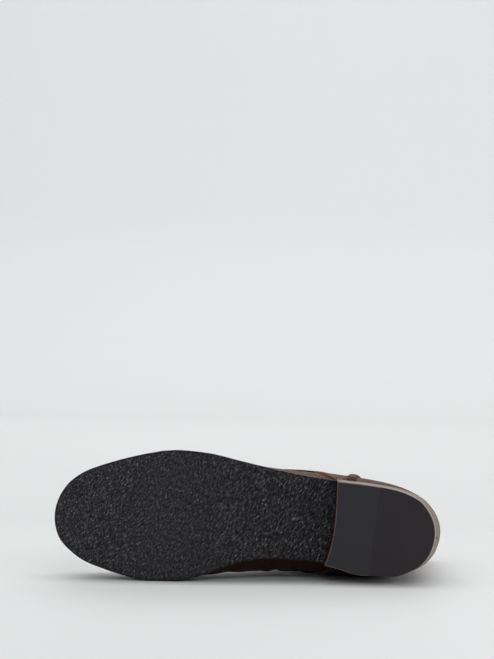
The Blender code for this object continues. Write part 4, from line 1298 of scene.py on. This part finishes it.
def make_tongue(outside, inside):
    rows, columns = 120, 44
    section = np.linspace(TONGUE_ROWS[0].section, TONGUE_ROWS[-1].section, rows + 1)
    half = read_table(TONGUE_ROWS, section, "half_width")
    drop = read_table(TONGUE_ROWS, section, "drop")
    under_lace = smooth_step(section, *PRESS_STARTS) * (1 - smooth_step(section, *PRESS_ENDS))
    share = np.linspace(-1, 1, columns + 1)
    u = np.repeat(section[:, None], columns + 1, 1)
    s = np.where(share < 0, -around_at(u, -share * half[:, None], MEDIAL),
                 around_at(u, share * half[:, None], LATERAL))
    depth = (drop + TONGUE_PRESS * under_lace)[:, None] + 0 * u
    swell = np.sqrt(np.clip(1 - np.abs(share) ** 6, 0, 1))
    thick = TONGUE_THICKNESS * (TONGUE_EDGE + (1 - TONGUE_EDGE) * swell)[None]
    mesh = shell("tongue_leather", [off_last(u, s, -depth - thick)], [off_last(u, s, -depth)])
    set_field(mesh, "burnish_and_shade", np.zeros(len(mesh.vertices)))
    add_piece("tongue_leather", mesh, [outside, inside], ["tongue"])


STRIP_ACROSS = np.array([-0.5, -0.49, -0.46, -0.4, -0.25, 0.0, 0.25, 0.4, 0.46, 0.49, 0.5])
STRIP_END = 5.0            # the strip's crown rounds off over this length at both ends
STRIP_EDGE = 0.12          # height at its edges, as a share
STRIP_BASE = 0.1           # its underside over the wall
STRIP_BURNISH = 0.25


def strip_places(across, rows):
    """(u, s) of the outer side strip; across runs from -0.5 at its rear edge to 0.5."""
    height = np.linspace(STRIP_ROWS[0].height, STRIP_ROWS[-1].height, rows + 1)[:, None]
    x = read_table(STRIP_ROWS, height, "x") + STRIP_WIDTH * np.asarray(across)[None]
    return place_on_side(x, height, LATERAL)


def make_side_strip(mat):
    """Raised strip over the outer side seam, with a rounded crown and rounded ends."""
    u, s = strip_places(STRIP_ACROSS, 90)
    length = STRIP_ROWS[-1].height - STRIP_ROWS[0].height
    along = np.linspace(0, length, len(u))
    to_end = np.clip(np.minimum(along, length - along) / STRIP_END, 0, 1)
    swell = np.sqrt(1 - (1 - to_end) ** 2)[:, None] * np.sqrt(1 - np.abs(2 * STRIP_ACROSS) ** 4)[None]
    crown = WALL + GAP + STRIP_HEIGHT * (STRIP_EDGE + (1 - STRIP_EDGE) * swell)
    base = np.full(u.shape, WALL + STRIP_BASE)
    mesh = shell("side_strip_leather", [off_last(u, s, base)], [off_last(u, s, crown)])
    set_field(mesh, "burnish_and_shade", np.full(len(mesh.vertices), STRIP_BURNISH))
    add_piece("side_strip_leather", mesh, [mat, mat], ["side_strip"])


def eyelet_places():
    track = np.linspace(THROAT_ROW + EYELET_FIRST, COLLAR_ROW - EYELET_LAST, 200)
    run = run_length(last_point(track, 0.0), 0)
    u = np.interp(np.linspace(0, run[-1], EYELET_PAIRS), run, track)
    return {side: (u, side * around_at(u, throat_half(u) + EYELET_INSET, side))
            for side in (MEDIAL, LATERAL)}


# Radius and height of the eyelet's rolled section, from the barrel's inner end over the flange and back
EYELET_PROFILE = np.array([
    (EYELET_BORE, EYELET_END),
    (EYELET_BORE, 0.3),
    (EYELET_BORE + 0.15, 0.75),
    (EYELET_BARREL, EYELET_TOP),
    ((EYELET_FLANGE + EYELET_BARREL) / 2, EYELET_TOP + 0.05),
    (EYELET_FLANGE - 0.3, 0.75),
    (EYELET_FLANGE, 0.4),
    (EYELET_FLANGE - 0.1, 0.08),
    (EYELET_BARREL, 0.08),
    (EYELET_BARREL, EYELET_END),
])


def make_eyelets(mat, places):
    """Rolled rings with a barrel through the facing, all as one joined mesh."""
    turns = 28
    angle = np.linspace(0, 2 * np.pi, turns, endpoint=False)
    rings = np.arange(turns * len(EYELET_PROFILE)).reshape(turns, -1)
    faces = [face for low, high in zip(rings, np.roll(rings, -1, axis=0)) for face in band(low, high)]
    parts = []
    for side in (MEDIAL, LATERAL):
        for u, s in zip(*places[side]):
            centre, normal = off_last(u, s, WALL), last_normal(u, s)
            first = np.cross(normal, [1.0, 0.0, 0.0])
            first /= np.linalg.norm(first)
            second = np.cross(normal, first)
            radial = np.cos(angle)[:, None] * first + np.sin(angle)[:, None] * second
            points = centre + EYELET_PROFILE[:, :1] * radial[:, None] + EYELET_PROFILE[:, 1:] * normal
            parts.append((points.reshape(-1, 3), faces))
    mesh = mesh_from("eyelet_rings", *join_parts(parts))
    nodes = [f"eyelet_{word}_{k + 1}" for word in ("medial", "lateral") for k in range(EYELET_PAIRS)]
    add_piece("eyelet_rings", mesh, [mat], nodes)


LACE_STEPS = 8             # points of the lace's path from one place of its route to the next
LACE_OVER = WALL + EYELET_TOP + 0.9 * LACE_RADIUS
LACE_UNDER = -0.95 * LACE_RADIUS
LACE_ON_WALL = WALL + 0.9
LACE_IN_EYELET = 0.2
LACE_START = 0.4           # the first eyelet's height, where the lace comes up from its hidden end
LACE_TAIL = (EYELET_INSET + 0.4, -2.6)     # inset and height of the hidden ends under the facing
BAR_BY_EYELET = (EYELET_INSET - 2.6, LACE_OVER)
BAR_AT_EDGE = (0.5, LACE_ON_WALL)
BAR_MIDDLE = WALL + 0.6
CROSSING_SHARES = (0.12, 0.3, 0.5, 0.68, 0.86)
CROSSING_HIGH, CROSSING_LOW = 2.4, 0.2     # the two strands of a crossing, over and under each other


def smooth_path(points, per_stretch):
    """Catmull-Rom curve through the points."""
    points = np.asarray(points, float)
    padded = np.concatenate([2 * points[:1] - points[1:2], points, 2 * points[-1:] - points[-2:-1]])
    t = np.linspace(0, 1, per_stretch, endpoint=False)[:, None]
    pieces = []
    for a, b, c, d in zip(padded, padded[1:], padded[2:], padded[3:]):
        pieces.append(0.5 * (2 * b + (c - a) * t + (2 * a - 5 * b + 4 * c - d) * t ** 2
                             + (3 * b - a - 3 * c + d) * t ** 3))
    return np.concatenate(pieces + [points[-1:]])


def make_lace(mat, places):
    """Criss-cross lacing: each strand comes up out of an eyelet, crosses the gap over the tongue, goes
    under the other facing and up through its next eyelet. A bar closes the lowest pair."""
    def spot(stop, inset, height):
        k, side = stop
        u = places[side][0][k]
        return off_last(u, side * around_at(u, throat_half(u) + inset, side), height)

    def between(stop, after, share, height):
        first, second = (np.array([places[side][0][k], places[side][1][k]]) for k, side in (stop, after))
        u, s = first + (second - first) * share
        return off_last(u, s, height)

    top = EYELET_PAIRS - 1
    down = [(k, MEDIAL if (top - k) % 2 == 0 else LATERAL) for k in range(top, -1, -1)]
    stops = down + [(k, -side) for k, side in reversed(down)]
    route = [spot(stops[0], *LACE_TAIL), spot(stops[0], EYELET_INSET, LACE_START)]
    for n, (stop, after) in enumerate(zip(stops, stops[1:])):
        if stop[0] == after[0]:
            route += [spot(stop, *BAR_BY_EYELET), spot(stop, *BAR_AT_EDGE),
                      between(stop, after, 0.5, BAR_MIDDLE),
                      spot(after, *BAR_AT_EDGE), spot(after, *BAR_BY_EYELET)]
        else:
            going_down = n < top
            high = (min(stop[0], after[0]) + going_down) % 2 == 0
            heights = (LACE_UNDER, LACE_UNDER + 0.5, CROSSING_HIGH if high else CROSSING_LOW,
                       LACE_ON_WALL, LACE_OVER)
            route += [between(stop, after, *place) for place in zip(CROSSING_SHARES, heights)]
        route.append(spot(after, EYELET_INSET, LACE_IN_EYELET))
    route.append(spot(stops[-1], *LACE_TAIL))
    points, faces, uv = tube(smooth_path(route, LACE_STEPS), LACE_RADIUS)
    mesh = mesh_from("lace_braid", points, faces, uv=uv)
    add_piece("lace_braid", mesh, [mat], ["lace"])


STITCH_LENGTH = 2.1
STITCH_PITCH = 2.9
THREAD_RADIUS = 0.28
# A stitch's points along its length, and their height on the leather
STITCH_ALONG = STITCH_LENGTH * np.array([0.0, 0.12, 0.5, 0.88, 1.0])
STITCH_RISE = np.array([-0.35, 0.0, 0.14, 0.0, -0.35])
SEAM_STITCHES = (2.0, 4.6)                 # distances of the rows from the edge that they follow
FACING_STITCHES = (2.6, 13.2)
COLLAR_STITCHES = 3.0
SEAM_FROM, SEAM_TO = 0.14, 0.985           # places around the last
FACING_FROM, FACING_TO = THROAT_ROW + 0.55, COLLAR_ROW - 0.3
COLLAR_TO = 0.995
LEAST_PITCH = 3.0                          # millimetres that a section counts for at least
STRIP_STITCHES = (-0.72, 0.72)             # in widths of the strip


def stitch_row(u, s):
    """Capsules of thread along a line on the upper, dipping into the leather at both ends."""
    run = run_length(off_last(u, s, WALL), 0)
    parts = []
    for start in np.arange(STITCH_PITCH / 2, run[-1] - STITCH_LENGTH, STITCH_PITCH):
        at = start + STITCH_ALONG
        path = off_last(np.interp(at, run, u), np.interp(at, run, s), WALL + STITCH_RISE)
        parts.append(tube(path, THREAD_RADIUS, 6)[:2])
    return parts


def make_stitches(pale, dark):
    """Two rows behind the quarters' front edge, pale on the outer side and in dark thread as painted shade
    on the inner side; dark rows along the facings, the collar and the strip."""
    pale_parts, dark_parts = [], []
    seam_step, collar_step = 0.05, 0.2
    around = np.linspace(SEAM_FROM, SEAM_TO, 260)
    for side in (MEDIAL, LATERAL):
        edge_u = read_table(SEAM_ROWS, around, "section")
        line = last_point(edge_u, side * around)
        lead = np.gradient(line, axis=0)
        lead /= np.linalg.norm(lead, axis=1, keepdims=True)
        step = (last_point(edge_u + seam_step, side * around) - line) / seam_step
        square = np.linalg.norm(step - lead * (step * lead).sum(1, keepdims=True), axis=1)
        # painted shade: the inner seam rows take the dark thread, as that side lies in shade
        seam_parts = pale_parts if side == LATERAL else dark_parts
        for inset in SEAM_STITCHES:
            seam_parts += stitch_row(edge_u + inset / np.maximum(square, LEAST_PITCH), side * around)
        up = np.linspace(FACING_FROM, FACING_TO, 300)
        for inset in FACING_STITCHES:
            dark_parts += stitch_row(up, side * around_at(up, throat_half(up) + inset, side))
        start = around_at(COLLAR_ROW, throat_half(COLLAR_ROW) + COLLAR_STITCHES, side)
        s = side * (start + (1 - start) * np.linspace(0.0, COLLAR_TO, 300))
        below = last_point(COLLAR_ROW - collar_step, s)
        pitch = np.linalg.norm(last_point(COLLAR_ROW, s) - below, axis=-1) / collar_step
        dark_parts += stitch_row(COLLAR_ROW - COLLAR_STITCHES / pitch, s)
    for across in STRIP_STITCHES:
        u, s = strip_places([across], 60)
        dark_parts += stitch_row(u[:, 0], s[:, 0])
    for name, parts, mat in (("seam_stitches", pale_parts, pale), ("edge_stitches", dark_parts, dark)):
        add_piece(name, mesh_from(name, *join_parts(parts)), [mat])


# Stage, light and camera

IMAGE_WIDTH, IMAGE_HEIGHT = 494, 659
VIEW_AZIMUTH, VIEW_ELEVATION, VIEW_ROLL = 6.0, 6.0, 0.35
VIEW_DISTANCE = 2.0
FOCAL_PIXELS = 2897.5
AIM = (129.75, 7.43, 2.59)   # a point of the sole, in the boot's frame, and where it lies in the image
AIM_PIXEL = (248.0, 514.6)
SENSOR = 36.0


def make_camera():
    aim = BOOT @ (Vector(AIM) * MM)
    azimuth, elevation = math.radians(VIEW_AZIMUTH), math.radians(VIEW_ELEVATION)
    back = Vector((math.sin(azimuth) * math.cos(elevation), -math.cos(azimuth) * math.cos(elevation),
                   math.sin(elevation)))
    right = (-back).cross(Vector((0, 0, 1))).normalized()
    base = Matrix((right, right.cross(-back), back)).transposed()
    pitch = Matrix.Rotation(-math.atan((IMAGE_HEIGHT / 2 - AIM_PIXEL[1]) / FOCAL_PIXELS), 3, "X")
    yaw = Matrix.Rotation(math.atan((AIM_PIXEL[0] - IMAGE_WIDTH / 2) / FOCAL_PIXELS), 3, "Y")
    roll = Matrix.Rotation(math.radians(VIEW_ROLL), 3, "Z")
    data = bpy.data.cameras.new("camera")
    data.sensor_width = SENSOR
    data.lens = FOCAL_PIXELS * SENSOR / IMAGE_HEIGHT
    data.clip_start, data.clip_end = 0.05, 50.0
    camera = link_object("camera", data)
    turn = base @ pitch @ yaw @ roll
    camera.matrix_world = Matrix.Translation(aim + back * VIEW_DISTANCE) @ turn.to_4x4()
    bpy.context.scene.camera = camera


def make_sweep(mat):
    """Pale floor that curves up into a wall far behind the boot; sizes in metres."""
    floor, depth, radius, height, half = [-5.0, -1.0, 0.0], 1.6, 1.2, 3.0, 12.0
    arc = np.linspace(0, np.pi / 2, 25)
    y = np.concatenate([floor, depth + radius * np.sin(arc), [depth + radius]])
    z = np.concatenate([np.zeros(len(floor)), radius - radius * np.cos(arc), [height]])
    points = [(x, a, b) for x in (-half, half) for a, b in zip(y, z)]
    count = len(y)
    faces = [(i, i + count, i + count + 1, i + 1) for i in range(count - 1)]
    mesh = bpy.data.meshes.new("sweep")
    mesh.from_pydata(points, [], faces)
    mesh.shade_smooth()
    mesh.materials.append(mat)
    obj = link_object("sweep", mesh)


# Soft lamps: places and sizes in metres, power in watts
Lamp = namedtuple("Lamp", "name place aim size power")
LAMPS = [
    Lamp("back_key", (0.0, 1.5, 1.25), (0.0, 0.0, 0.0), (2.4, 1.0), 8.0),
    Lamp("overhead", (0.0, 0.2, 2.0), (0.0, 0.0, 0.0), (2.0, 2.0), 4.0),
    Lamp("front_top", (0.5, -1.6, 0.9), (0.0, 0.0, 0.05), (1.2, 0.6), 7.5),
    Lamp("side_left", (-1.5, -0.35, 0.5), (-0.05, 0.0, 0.0), (0.9, 0.7), 3.5),
    Lamp("side_right", (1.5, -0.35, 0.5), (0.05, 0.0, 0.0), (0.9, 0.7), 6.0),
    Lamp("wall_wash", (0.0, 0.5, 2.6), (0.0, 2.5, 0.3), (4.0, 0.8), 46.0),
]
SKY_COLOUR = (0.95, 0.98, 1.0)
SKY_STRENGTH = 0.32


def make_light():
    scene = bpy.context.scene
    scene.view_settings.view_transform = "Standard"
    scene.world = bpy.data.worlds.new("studio")
    scene.world.use_nodes = True
    sky = scene.world.node_tree.nodes["Background"]
    sky.inputs["Color"].default_value = (*SKY_COLOUR, 1.0)
    sky.inputs["Strength"].default_value = SKY_STRENGTH
    for lamp in LAMPS:
        data = bpy.data.lights.new(lamp.name, "AREA")
        data.shape = "RECTANGLE"
        data.size, data.size_y = lamp.size
        data.energy = lamp.power
        obj = link_object(lamp.name, data)
        obj.location = lamp.place
        obj.rotation_mode = "QUATERNION"
        obj.rotation_quaternion = (Vector(lamp.aim) - Vector(lamp.place)).to_track_quat("-Z", "Y")


def build():
    leather = leather_material("brown_leather", BROWN_LEATHER)
    lining = lining_material("lining_leather", LINING_LEATHER)
    metal = metal_material()
    make_outsole(crepe_material())
    make_heel_stack(stack_material())
    make_top_lifts(lift_material("lift_front", LIFT_FRONT), lift_material("lift_rear", LIFT_REAR),
                   lift_material("worn_edge", WORN_EDGE))
    make_heel_tack(metal)
    make_insole(lining)
    make_upper(leather, lining)
    make_tongue(leather_material("tongue_leather", TONGUE_LEATHER), lining)
    make_side_strip(leather)
    places = eyelet_places()
    make_eyelets(metal, places)
    make_lace(braid_material("lace_cord", LACE_CORD), places)
    make_stitches(thread_material("pale_thread", PALE_THREAD), thread_material("dark_thread", DARK_THREAD))
    make_sweep(sweep_material())
    make_light()
    make_camera()


build()
